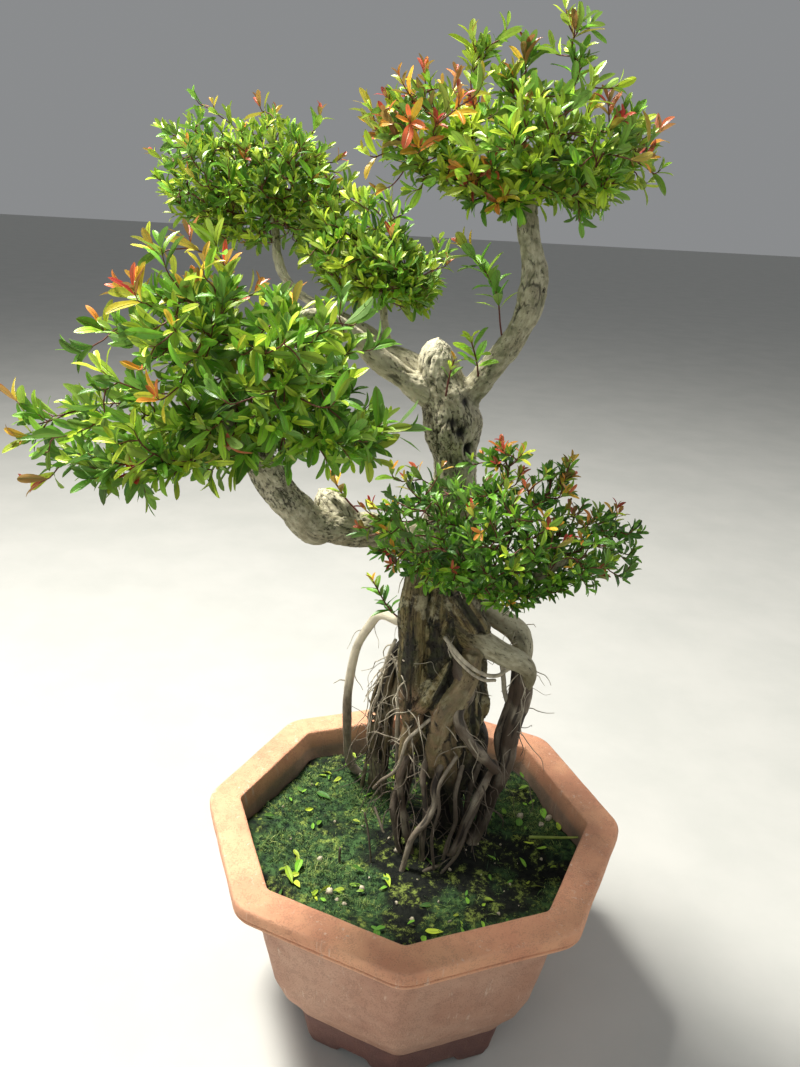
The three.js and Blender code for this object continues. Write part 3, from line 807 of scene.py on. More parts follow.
def pot_outline():
    """The clay from the hollow under the foot, up the outside, over the lip, and down inside.

    Each level is its distance from the middle to a flat side, its height above the table, and
    how round its corners are.
    """
    body = [(0, 0), (0.09, 0.175), (0.2, 0.42), (0.38, 0.65), (0.58, 0.79), (0.8, 0.93), (1, 1)]
    outside = [(80.5 + out * 28.5, 29 + up * 102, 14) for up, out in body]
    levels = [(0.4, 5, 0.3), (30, 5, 4), (60, 5, 6), (61, 4.6, 6), (61, 0.6, 6), (61.5, 0, 6), (72, 0, 6)]
    levels += [
        (73.2, 0.8, 6), (75.5, 7, 6), (78, 20, 6), (79.2, 27.4, 6), (79.6, 28.4, 6), (80.6, 29.2, 14)
    ]
    levels += outside[1:]
    levels += [(110, 131.6, 14), (122.6, 132.8, 20), (124.2, 133.2, 20), (124.6, 134, 20), (124.4, 135, 20)]
    levels += [(123.5, 135.4, 20), (123.5, 136, 20), (124.8, 136.4, 20), (125, 137.4, 20)]
    levels += [(125, 142, 20), (124.6, 143.3, 20), (123.8, 143.9, 20), (122.8, 144, 20)]
    levels += [(106.6, 144, 8), (105.6, 143.8, 7), (105.1, 143.2, 6), (104.9, 142, 6)]
    levels += [(102.5, 122, 8), (100, 104, 8), (93, 84, 12), (86, 60, 12), (76, 34, 10)]
    levels += [(70, 24, 8), (62, 16.4, 6), (30, 16, 4), (0.4, 16, 0.3)]
    return np.array(levels, float)


def clay_pot():
    """The pot's shell, with its feet cut out of the foot band and its drain holes."""
    levels = pot_outline()
    spaced = [levels[0]]
    for low, high in zip(levels, levels[1:]):
        count = max(1, math.ceil(np.linalg.norm((high - low)[:2]) / LEVEL_GAP))
        spaced += [low + (high - low) * (i + 1) / count for i in range(count)]
    rings = [octagon_ring(a, r, z) for a, z, r in spaced]
    around = len(rings[0])
    points = lift_between_feet(np.vstack([*rings, [[0, 0, FLOOR_BOTTOM], [0, 0, FLOOR_TOP]]]))
    heights = [level[1] for level in spaced]
    inner = np.repeat(np.arange(len(spaced)) > np.argmax(heights) + 5, around)
    stain = inner * (1 - smooth_step(126, 143, np.repeat(heights, around)))
    stain = np.append(stain, [0, 1])
    clay = rough(points, 22, 5, 3) * 0.28 + bumps(points, 4, 9) * 0.07
    outwards = unit(points * [1, 1, 0])
    points = points + outwards * clay[:, None] * (np.abs(points[:, 2] - 2.5) > 2.4)[:, None]
    points[:, 2] -= MOSS_HEIGHT
    faces = ring_quads(len(rings), around), ring_lids(len(rings), around)
    piece = build_piece("clay_pot", points, *faces, {"inside": stain})
    drill(piece)
    return piece


def lift_between_feet(points):
    """Raises the foot's edge in the middle of each side, so that the pot stands on corners."""
    angle = np.arctan2(points[:, 1], points[:, 0])
    side = (np.floor(angle / (math.pi / 4)) + 0.5) * math.pi / 4
    sideways = np.abs(points[:, 1] * np.cos(side) - points[:, 0] * np.sin(side))
    outwards = points[:, 0] * np.cos(side) + points[:, 1] * np.sin(side)
    gap = (1 - smooth_step(8.5, 13, sideways)) * (outwards > 60)
    lifted = points.copy()
    low = points[:, 2] < 9
    lifted[low, 2] += gap[low] * np.clip(6 * (1 - points[low, 2] / 9), 0, 6)
    return lifted


def drill(piece):
    """Cuts five drain holes through the floor."""
    holes = []
    for x, y in [(0, 0), (DRAIN_RING, 0), (0, DRAIN_RING), (-DRAIN_RING, 0), (0, -DRAIN_RING)]:
        line = np.array([[x, y, -12.0, DRAIN_RADIUS], [x, y, 30.0, DRAIN_RADIUS]])
        line = line - [0, 0, MOSS_HEIGHT, 0]
        holes.append(tube(smooth_line(line, 6), 28))
    cutter = build_piece("hole_cutter", *gather(holes))
    cut = piece.modifiers.new("Drain holes", "BOOLEAN")
    cut.operation = "DIFFERENCE"
    cut.object = cutter
    cut.solver = "EXACT"
    cut.use_self = True
    bake_modifiers(piece)
    bpy.data.objects.remove(cutter)


def bake_modifiers(piece):
    """Turns a piece's modifiers into its mesh."""
    graph = bpy.context.evaluated_depsgraph_get()
    finished = bpy.data.meshes.new_from_object(piece.evaluated_get(graph))
    piece.modifiers.clear()
    piece.data = finished


# ---- Ground -------------------------------------------------------------------------------


def ground_height(x, y):
    """Height of the moss at a place: gentle waves, mounds and clumps."""
    flat = np.column_stack([x, y, np.zeros_like(x)])
    waves = np.sin(x * 0.055 + 1) * np.cos(y * 0.048) + 0.6 * np.sin((x + y) * 0.09)
    mounds = rough(flat, 20, 31, 3) * 1.5 + np.abs(bumps(flat, 5, 41)) * 1.0
    rise = 3.5 * np.exp(-((x - 12) ** 2 + y**2) / 1600)
    return 1.6 * waves + mounds + rise


def mossy_share(x, y):
    """How much of the ground is covered with moss, from 0 to 1, and less in front of the trunk, where the
    soil that shows is painted shadow.
    """
    flat = np.column_stack([x, y, np.zeros_like(x)])
    # Painted shadow of the tree: the moss thins out in front of the trunk, so the dark soil shows.
    painted_trunk_shadow = np.exp(-((x - 20) ** 2 + (y + 16) ** 2) / 1500)
    return np.clip(0.62 + 0.6 * rough(flat, 26, 51, 3) - 1.15 * painted_trunk_shadow, 0, 1)


BED_EDGE = 101.4
BED_RINGS = 74
BED_UNDERSIDE = -4.0


def mossy_bed():
    """The uneven top of the soil, as a slab that lies in the pot's mouth."""
    shares = np.linspace(0.012, 1, BED_RINGS)
    rings = [octagon_ring(BED_EDGE * s, 8 * s, 0) for s in shares]
    around = len(rings[0])
    points = np.vstack(rings)
    points[:, 2] = ground_height(points[:, 0], points[:, 1])
    near_wall = np.repeat(smooth_step(0.93, 1, shares), around)
    points[:, 2] += near_wall * (bumps(points, 9, 61) * 1.5 - 0.6)
    under = octagon_ring(BED_EDGE - 0.4, 8, BED_UNDERSIDE)
    middle = ground_height(np.zeros(1), np.zeros(1))[0]
    points = np.vstack([points, under, [[0, 0, middle], [0, 0, BED_UNDERSIDE]]])
    ring = np.arange(around)
    following = (ring + 1) % around
    below = np.arange(len(rings))[:, None] * around
    above = below + around
    quads = np.stack([above + following, above + ring, below + ring, below + following], -1)
    lid = len(points) - 2
    last = len(rings) * around
    fans = [np.stack([ring, following, np.full(around, lid)], -1)]
    fans += [np.stack([last + following, last + ring, np.full(around, lid + 1)], -1)]
    share = mossy_share(points[:, 0], points[:, 1])
    return build_piece("mossy_bed", points, quads.reshape(-1, 4), np.vstack(fans), {"moss_cover_and_shade": share})


def places_in_pot(count, chance, draw, reach=99.0):
    """Random places on the ground inside the octagon, more of them where `chance` is high."""
    found = np.empty((0, 2))
    while len(found) < count:
        tried = draw.uniform(-reach, reach, (count * 3, 2))
        turned = np.abs(tried @ np.array([[1, -1], [1, 1]]) * math.sqrt(0.5))
        inside = (np.maximum(np.abs(tried).max(1), turned.max(1)) < reach / math.cos(math.pi / 8) * 0.94)
        sides = np.arange(8) * math.pi / 4 + math.pi / 8
        far = (tried @ np.stack([np.cos(sides), np.sin(sides)])).max(1)
        kept = inside & (far < reach) & (draw.random(len(tried)) < chance(tried[:, 0], tried[:, 1]))
        found = np.vstack([found, tried[kept]])
    return found[:count]


THREAD_COUNT = 15000
LITTER_COUNT = 110
GRIT_COUNT = 46


def moss_threads(draw):
    """Thousands of short curved threads that make the moss look soft."""
    count = THREAD_COUNT
    at = places_in_pot(count, lambda x, y: mossy_share(x, y) ** 1.5, draw)
    root = np.column_stack([at, ground_height(at[:, 0], at[:, 1]) - 0.3])
    tuft = bumps(root * [1, 1, 0], 7, 71)
    length = draw.uniform(1.2, 3.4, count) * (1 + 0.5 * tuft)
    lean = draw.normal(0, 0.75, (count, 2))
    width = draw.uniform(0.22, 0.5, count)
    turn = draw.uniform(0, 2 * math.pi, count)
    side = np.column_stack([np.cos(turn), np.sin(turn), np.zeros(count)]) * width[:, None] / 2
    middle = root + np.column_stack([lean * length[:, None] * 0.3, length * 0.55])
    tip = root + np.column_stack([lean * length[:, None] * 0.9, length * 0.85])
    points = np.stack([root - side, root + side, middle + side * 0.9, middle - side * 0.9, tip], 1)
    first = np.arange(count)[:, None] * 5
    quads = first + np.array([[0, 1, 2, 3]])
    triangles = first + np.array([[3, 2, 4]])
    patch = rough(root * [1, 1, 0], 16, 75, 3)
    own = np.clip(0.42 + 0.2 * tuft + 0.3 * patch + draw.normal(0, 0.16, count), 0, 1)
    shade = np.clip(own[:, None] + np.array([-0.2, -0.2, 0.05, 0.05, 0.25]), 0, 1).ravel()
    return build_piece("moss_threads", points.reshape(-1, 3), quads, triangles, {"shade": shade})


# ---- Leaves -------------------------------------------------------------------------------

ALONG = np.array([0.0, 0.1, 0.26, 0.45, 0.64, 0.82, 0.94, 1.0])
ACROSS = np.array([-1.0, -0.5, 0.0, 0.5, 1.0])


def leaf_width(along):
    """Half width of a leaf along its length: narrow at the stalk, widest past the middle."""
    return np.maximum(along**0.95 * (1 - along) ** 0.6 * 2.72, 0.035)


def leaf_faces():
    """The quads of one leaf."""
    columns = len(ACROSS)
    quads = []
    for row in range(len(ALONG) - 1):
        for column in range(columns - 1):
            corner = row * columns + column
            quads.append([corner, corner + 1, corner + columns + 1, corner + columns])
    return np.array(quads)


def leaves(name, roots, ahead, upper, length, width, age, draw, curl=0.5):
    """One object of many leaves: where each starts, the way it points, and the way it faces."""
    count = len(roots)
    ahead = unit(ahead)
    upper = unit(upper - ahead * np.sum(upper * ahead, 1, keepdims=True))
    side = np.cross(ahead, upper)
    bend = draw.normal(curl, 0.22, count)[:, None]
    fold = draw.uniform(0.12, 0.5, count)[:, None, None]
    sway = draw.normal(0, 0.12, count)[:, None]
    bent = np.where(np.abs(bend) < 0.02, 0.02, bend)
    forward = np.sin(bent * ALONG) / bent
    down = (1 - np.cos(bent * ALONG)) / bent
    half = width[:, None] / 2 * leaf_width(ALONG)[None]
    over = half[:, :, None] * ACROSS[None, None]
    lift = np.abs(over) * np.tan(fold)
    wave = np.sin(ALONG * 9 + draw.uniform(0, 6, (count, 1)))[:, :, None] * np.abs(over) * 0.12
    sideways = over + (length[:, None] * sway * ALONG**2)[:, :, None]
    points = roots[:, None, None] + (length[:, None] * forward)[:, :, None, None] * ahead[:, None, None]
    points = points + sideways[..., None] * side[:, None, None]
    rise = lift + wave - (length[:, None] * down)[:, :, None]
    points = points + rise[..., None] * upper[:, None, None]
    one = leaf_faces()
    size = len(ALONG) * len(ACROSS)
    quads = (np.arange(count)[:, None, None] * size + one[None]).reshape(-1, 4)
    shape = (count, len(ALONG), len(ACROSS))
    values = {
        "age": np.broadcast_to(np.clip(age, 0, 1)[:, None, None], shape).ravel(),
        "shade": np.broadcast_to(draw.random(count)[:, None, None], shape).ravel(),
        "across": np.broadcast_to(np.abs(ACROSS), shape).ravel(),
        "along": np.broadcast_to(ALONG[:, None], shape).ravel(),
    }
    return build_piece(name, points.reshape(-1, 3), quads, None, values)


def litter_chance(x, y):
    """Fewer fallen leaves lie near the trunk."""
    return 0.3 + 0.7 * (np.hypot(x - 14, y + 5) > 45)


def litter_leaves(draw):
    """Fallen leaves that lie on the moss: where, how turned, and how large."""
    count = LITTER_COUNT
    known = [
        (-69, -46), (-70, -55), (-47, -52), (-11, -50), (-16, -83), (22, -80), (78, 78), (73, 26),
        (91, 28), (99, 26), (-58, 32)
    ]
    scattered = places_in_pot(count - len(known), litter_chance, draw, 93)
    at = np.vstack([known, scattered])
    turn = draw.uniform(0, 2 * math.pi, count)
    ahead = np.column_stack([np.cos(turn), np.sin(turn), draw.uniform(-0.05, 0.35, count)])
    upper = np.column_stack([draw.normal(0, 0.35, (count, 2)), np.ones(count)])
    length = draw.uniform(4, 8.5, count)
    length[: len(known)] = draw.uniform(9, 13, len(known))
    width = length * draw.uniform(0.32, 0.46, count)
    age = np.clip(draw.normal(0.5, 0.12, count), 0.2, 0.66)
    rest = np.column_stack([at, ground_height(at[:, 0], at[:, 1]) + draw.uniform(0.8, 2.4, count)])
    return leaves("fallen_leaf_litter", rest, ahead, upper, length, width, age, draw, 0.15)


def pebbles(draw):
    """Small worn stones and grit on the moss."""
    known = [
        (-47, -58, 2.6), (-42, -64, 1.5), (-37, -66, 1.3), (74, 28, 2.6), (94, 30, 2.8),
        (88, 22, 2.2), (-9, -17, 1.8), (-57, -27, 2.2), (-28, -52, 2.0)
    ]
    at = places_in_pot(GRIT_COUNT, lambda x, y: 0.5 + 0 * x, draw, 94)
    grit = [(x, y, size) for (x, y), size in zip(at, draw.uniform(0.4, 1.3, len(at)))]
    shapes = []
    for x, y, size in known + grit:
        height = ground_height(np.array([x]), np.array([y]))[0] + size * 0.35
        turn = draw.uniform(0, 2 * math.pi)
        reach = np.array([math.cos(turn), math.sin(turn), draw.uniform(-0.2, 0.2)]) * size * 0.55
        line = [[x - reach[0], y - reach[1], height - reach[2], size * 0.66]]
        line += [[x, y, height, size], [x + reach[0], y + reach[1], height + reach[2], size * 0.6]]
        shapes.append(tube(smooth_line(line, max(size * 0.3, 0.25)), 12, 0.0))
    points, quads, triangles = gather(shapes)
    bump = np.column_stack([bumps(points, 1.8, seed) for seed in (83, 84, 85)])
    points = points + bump * [0.75, 0.75, 0.5]
    return build_piece("pebbles", points, quads, triangles)


# ---- Wood: the routes of trunk, branches and roots, [x, y, z, radius] ---------------------

TRUNK = [
    [21, 8, 34, 11], [21, 6, 60, 19], [16, 6, 100, 26], [12, 8, 143, 23], [11, 10, 180, 22],
    [12, 10, 214, 18], [12, 8, 244, 14], [10, 6, 264, 14], [7, 5, 285, 16], [0, 5, 303, 12],
    [-3, 5, 316, 9.5], [-3, 5, 323, 6],
]
RIGHT_BRANCH = [
    [8, 6, 284, 9], [19, 4, 301, 7.5], [31, 0, 319, 6.8], [39, -3, 334, 6.7], [44, -5, 348, 7],
    [45, -6, 361, 6.7], [43, -5, 371, 6.1], [40, -5, 380, 5.8], [37, -5, 398, 5], [34, -6, 418, 3],
]
FRONT_LEFT_BRANCH = [
    [2, 3, 292, 9], [-18, 0, 303, 6.6], [-28, -5, 310, 6], [-38, -12, 319, 5.4], [-47, -20, 329, 4.4],
    [-58, -34, 338, 3.2], [-67, -48, 341, 2.5], [-74, -62, 338, 1.7]
]
BACK_LEFT_BRANCH = [
    [0, 8, 304, 8], [-21, 26, 311, 5], [-32, 38, 313, 4.4], [-42, 50, 319, 3.9], [-56, 58, 325, 3.4],
    [-78, 68, 333, 3.2], [-94, 76, 341, 3], [-104, 82, 356, 2.9], [-107, 86, 378, 2.4],
    [-112, 88, 396, 1.6],
]
MIDDLE_BRANCH = [[-28, 34, 308, 3.4], [-34, 46, 323, 2.6], [-37, 50, 339, 2.3], [-40, 52, 356, 1.6]]
LOWER_LEFT_BRANCH = [
    [12, 4, 196, 13], [-6, -3, 209, 11], [-18, -8, 213, 10], [-34, -18, 221, 9.6], [-50, -30, 226, 9.6],
    [-61, -38, 229, 9.5], [-71, -45, 239, 9.2], [-80, -52, 254, 8.8], [-87, -58, 267, 8.4],
    [-96, -66, 284, 6.5], [-104, -72, 302, 4],
]
BRANCH_STUB = [[-46, -26, 226, 9], [-52, -24, 233, 9.4], [-58, -20, 238, 8.6], [-61, -18, 241, 6]]
LOW_RIGHT_BRANCH = [
    [14, 0, 186, 8], [22, -16, 192, 5], [36, -32, 198, 4], [54, -42, 208, 3.2], [72, -46, 222, 2.2]
]
LEFT_COLUMN = [
    [6, 0, 214, 3.6], [0, -3, 204, 5.4], [-6, -6, 192, 6.4], [-8, -8, 169, 7.1], [-7, -12, 145, 7.1],
    [-7, -14, 119, 6], [-7, -14, 97, 2.4]
]
DIAGONAL_RIDGE = [[17, -14, 141, 3], [11, -18, 126, 4.2], [4, -18, 112, 4.2], [-5, -15, 102, 2.4]]
SMOOTH_ROOT = [
    [30, -12, 145, 6.5], [29, -16, 134, 7.1], [24, -20, 122, 7.1], [16, -20, 107, 7.8],
    [12, -18, 85, 6.1], [10, -14, 60, 3.1]
]
RIGHT_SHOULDER = [[16, -10, 185, 7.5], [24, -10, 173, 8.2], [33, -6, 158, 6.5]]
LEFT_BUTTRESS = [
    [0, -12, 111, 6.1], [-5, -12, 86, 4.9], [-7, -10, 63, 3.8], [-7, -10, 36, 2.6], [-9, -12, 4, 2.2]
]
CENTRE_ROOT = [
    [13, -18, 102, 9.1], [18, -14, 77, 7.4], [24, -8, 45, 5.1], [32, -4, 12, 3.9], [36, -3, -6, 3]
]

AERIAL_ROOT = [
    [-2, 4, 158, 3.4], [-14, 2, 156, 3], [-27, 8, 157, 2.9], [-34, 13, 147, 2.9], [-43, 22, 124, 2.9],
    [-48, 34, 88, 3], [-49, 44, 58, 3.1], [-49, 54, 30, 3.2], [-47, 60, 12, 3.3], [-41, 63, 2, 3.3],
    [-34, 62, -8, 2.6],
]
SIDE_ROOTS = [
    [-6, 2, 150, 3], [-17, 4, 134, 3], [-20, 10, 114, 3.4], [-24, 20, 90, 4], [-26, 30, 64, 4.4],
    [-27, 40, 36, 4.6], [-28, 48, 8, 5], [-29, 54, -12, 4]
]
SIDE_ROOT_2 = [
    [-8, 4, 140, 2], [-15, 12, 112, 2.2], [-18, 20, 84, 2.6], [-20, 28, 52, 2.4], [-21, 36, 22, 2.2],
    [-23, 42, -6, 2]
]
SIDE_ROOT_3 = [
    [-18, 6, 128, 1.2], [-28, 14, 104, 1.3], [-32, 26, 72, 1.4], [-33, 38, 40, 1.4],
    [-36, 46, 12, 1.3], [-38, 50, -6, 1.2]
]
SHOULDER_ROOT = [
    [16, 10, 160, 8], [33, 12, 164, 7.6], [45, 14, 157, 7.4], [56, 14, 150, 7.2], [61, 11, 142, 6.2],
    [62, 8, 133, 4.6], [62, 5, 124, 3.4], [60, 2, 112, 2.4]
]
KNUCKLE_ROOT = [
    [8, 2, 172, 7], [16, -3, 164, 8.4], [25, -6, 157, 8.8], [37, -8, 150, 8], [47, -9, 145, 7],
    [58, -8, 140, 5.8], [64, -5, 133, 4.8], [65, -2, 124, 4], [62, 0, 112, 2.6]
]
PROP_ROOT = [
    [60, -2, 136, 4], [63, 0, 122, 5.4], [63, 2, 106, 5.6], [59, 4, 87, 5.7], [58, 5, 68, 5.8],
    [55, 6, 49, 5.5],
    [50, 6, 32, 5.2], [46, 4, 13, 4.8], [38, -4, 0, 4.6], [28, -14, -9, 3.6],
]
TWIN_ROOT = [
    [50, -4, 66, 2.8], [39, -10, 40, 2.9], [34, -13, 23, 2.9], [28, -17, 8, 2.6], [19, -22, -5, 2.2]
]
MID_ROOT = [
    [22, -8, 140, 7], [28, -20, 124, 5], [23, -25, 114, 3.7], [25, -25, 103, 3.4], [33, -20, 88, 3.4],
    [40, -13, 76, 3.4], [51, -5, 60, 3.2]
]
FRONT_ROOT_A = [
    [10, -8, 88, 3], [5, -20, 66, 2.1], [6, -23, 55, 2], [8, -25, 40, 2], [7, -24, 22, 2],
    [8, -23, -5, 2]
]
FRONT_ROOT_B = [
    [20, -10, 80, 3], [12, -24, 60, 2.1], [13, -26, 48, 2], [9, -30, 38, 2], [2, -32, 28, 2],
    [-1, -33, 20, 2], [-6, -36, -5, 2]
]
LEFT_ROOT = [
    [4, -4, 96, 4], [-8, -14, 65, 2.8], [-9, -15, 51, 2.6], [-7, -16, 38, 2.6], [-3, -17, 17, 2.6],
    [2, -18, -6, 2.2]
]
TAP_ROOT = [[21, 10, 44, 12], [20, 12, 26, 11], [22, 12, 8, 11], [24, 12, -14, 8]]
BACK_ROOT_LEFT = [[8, 18, 84, 8], [-4, 30, 56, 5.4], [-8, 34, 30, 4.6], [-10, 38, -8, 4]]
BACK_ROOT_RIGHT = [[30, 16, 92, 8], [42, 30, 60, 5.6], [44, 34, 30, 4.8], [48, 38, -8, 4]]
SECOND_COLUMN = [[57, 2, 130, 2.8], [58, 6, 112, 2.8], [54, 8, 93, 2.5], [51, 8, 78, 2.6], [54, 6, 61, 2.6]]

THIN_ROOTS = [
    [
        [12, -14, 156, 1.3], [18, -18, 150, 1.3], [28, -20, 141, 1.2], [38, -18, 135, 1.2],
        [45, -14, 133, 1.2], [52, -10, 136, 1.2], [62, -6, 134, 1.2]
    ],
    [[14, -14, 152, 1.1], [19, -18, 146, 1.1], [28, -21, 138, 1], [37, -19, 132, 1], [44, -13, 129, 1]],
    [[46, -4, 145, 1.5], [52, 6, 112, 1.6], [59, 10, 88, 1.6], [54, 8, 65, 1.6]],
    [
        [7, -20, 104, 1.1], [-5, -22, 91, 1.1], [-8, -22, 82, 1.1], [-12, -20, 66, 1.1],
        [-21, -16, 54, 1.1], [-26, -12, 45, 1.1]
    ],
    [[-26, 20, 6, 1], [-20, 4, 3, 0.9], [-13, -10, -2, 0.8]],
    [
        [-4, -8, 78, 1.6], [-8, -10, 56, 2], [-12, -11, 38, 2.3], [-12, -14, 27, 2.5],
        [-9, -16, 12, 1.9], [-6, -18, -4, 1.4]
    ],
    [[-17, -6, 148, 1.1], [-23, 0, 128, 1], [-26, 8, 105, 1], [-30, 16, 84, 0.8]],
    [
        [-11, -2, 133, 1.5], [-13, 0, 110, 1.6], [-13, 2, 87, 1.6], [-12, 6, 55, 1.6],
        [-9, 4, 26, 1.3], [-8, 2, -4, 1.2]
    ],
    [[24, -22, 80, 1.2], [15, -28, 62, 1.1], [16, -29, 44, 1], [13, -30, 26, 1], [16, -30, -3, 0.9]],
    [[30, -8, 70, 1.6], [26, -18, 50, 1.4], [27, -20, 30, 1.3], [22, -22, 10, 1.2], [20, -24, -4, 1]],
    [[44, -6, 44, 1.4], [36, -16, 26, 1.2], [30, -24, 10, 1.1], [18, -34, -3, 0.9]],
    [[40, 2, 60, 2], [36, 0, 40, 1.8], [34, -4, 20, 1.6], [30, -6, -4, 1.5]],
    [[2, 0, 70, 2.2], [-4, -2, 46, 2], [-6, -4, 22, 1.8], [-4, -6, -4, 1.6]],
    [[28, -20, -1, 1.6], [20, -26, 1, 1.5], [10, -32, 1, 1.3], [2, -38, -1, 1]],
    [[-44, -30, 12, 0.8], [-44, -31, 4, 0.9], [-43, -31, -3, 0.9]],
    [[-30, -22, 34, 0.6], [-26, -27, 16, 0.7], [-24, -30, -3, 0.7]],
]


# ---- Wood: solid, bark relief and its marks -------------------------------------------------


THICK_LIMB = 6
TRUNK_VOXEL = 0.74
ROOT_VOXEL = 0.62
POINTS_AT_ONCE = 20000


def wood_solid(name, routes, voxel, seed):
    """Limbs merged into one closed skin with even faces."""
    shapes = []
    for i, route in enumerate(routes):
        thick = max(place[3] for place in route)
        line = smooth_line(route, max(1.2, thick * 0.18))
        around, unevenness = (28, 0.16) if thick > THICK_LIMB else (14, 0.1)
        shapes.append(tube(line, around, unevenness, seed + i))
    piece = build_piece(name, *gather(shapes))
    skin = piece.modifiers.new("Skin", "REMESH")
    skin.mode = "VOXEL"
    skin.voxel_size = voxel * 0.001
    bake_modifiers(piece)
    piece.data.shade_smooth()
    return piece


def distance_along(line):
    """How far along a line each of its places is."""
    steps = np.linalg.norm(np.diff(line[:, :3], axis=0), axis=1)
    return np.append(0, np.cumsum(steps))


def nearest_limb(points, routes):
    """For each point: its limb, and its place across and along that limb."""
    lines = [smooth_line(route, 2.5) for route in routes]
    frames = [frames_along(line) for line in lines]
    centres = np.vstack([line[:, :3] for line in lines])
    radii = np.concatenate([line[:, 3] for line in lines])
    owner = np.concatenate([np.full(len(line), i) for i, line in enumerate(lines)])
    far = np.concatenate([distance_along(line) for line in lines])
    best = np.empty(len(points), np.int64)
    for start in range(0, len(points), POINTS_AT_ONCE):
        part = points[start : start + POINTS_AT_ONCE]
        gap = (centres**2).sum(1) - 2 * part @ centres.T - radii**2
        best[start : start + POINTS_AT_ONCE] = gap.argmin(1)
    offset = points - centres[best]
    ahead, side, across = (np.vstack([f[i] for f in frames])[best] for i in range(3))
    forward = (offset * ahead).sum(1)
    place = np.column_stack([(offset * side).sum(1), (offset * across).sum(1), far[best] + forward])
    return owner[best], place, radii[best]


def near(points, spots, reach):
    """1 at the given spots, falling to 0 at `reach` from them."""
    total = np.zeros(len(points))
    for x, y, z in spots:
        gap = ((points - [x, y, z]) ** 2).sum(1)
        total = np.maximum(total, np.exp(-gap / (reach * reach)))
    return total


# Painted shade: the crease between the knuckle and shoulder roots and the hollows in the trunk are dented
# in and darkened.
CREASE = np.linspace([24, 1, 169], [58, 4, 149], 12)
HOLLOWS = [
    [8, -8, 283], [13, -10, 278], [22, -6, 291], [16, -8, 295], [4, -10, 262], [19, -5, 268], [30, -6, 128],
    [33, -10, 120], [-1, -22, 97],
]
GROWN_IN = [
    LEFT_COLUMN, DIAGONAL_RIDGE, SMOOTH_ROOT, RIGHT_SHOULDER, LEFT_BUTTRESS, CENTRE_ROOT,
    SHOULDER_ROOT, KNUCKLE_ROOT
]


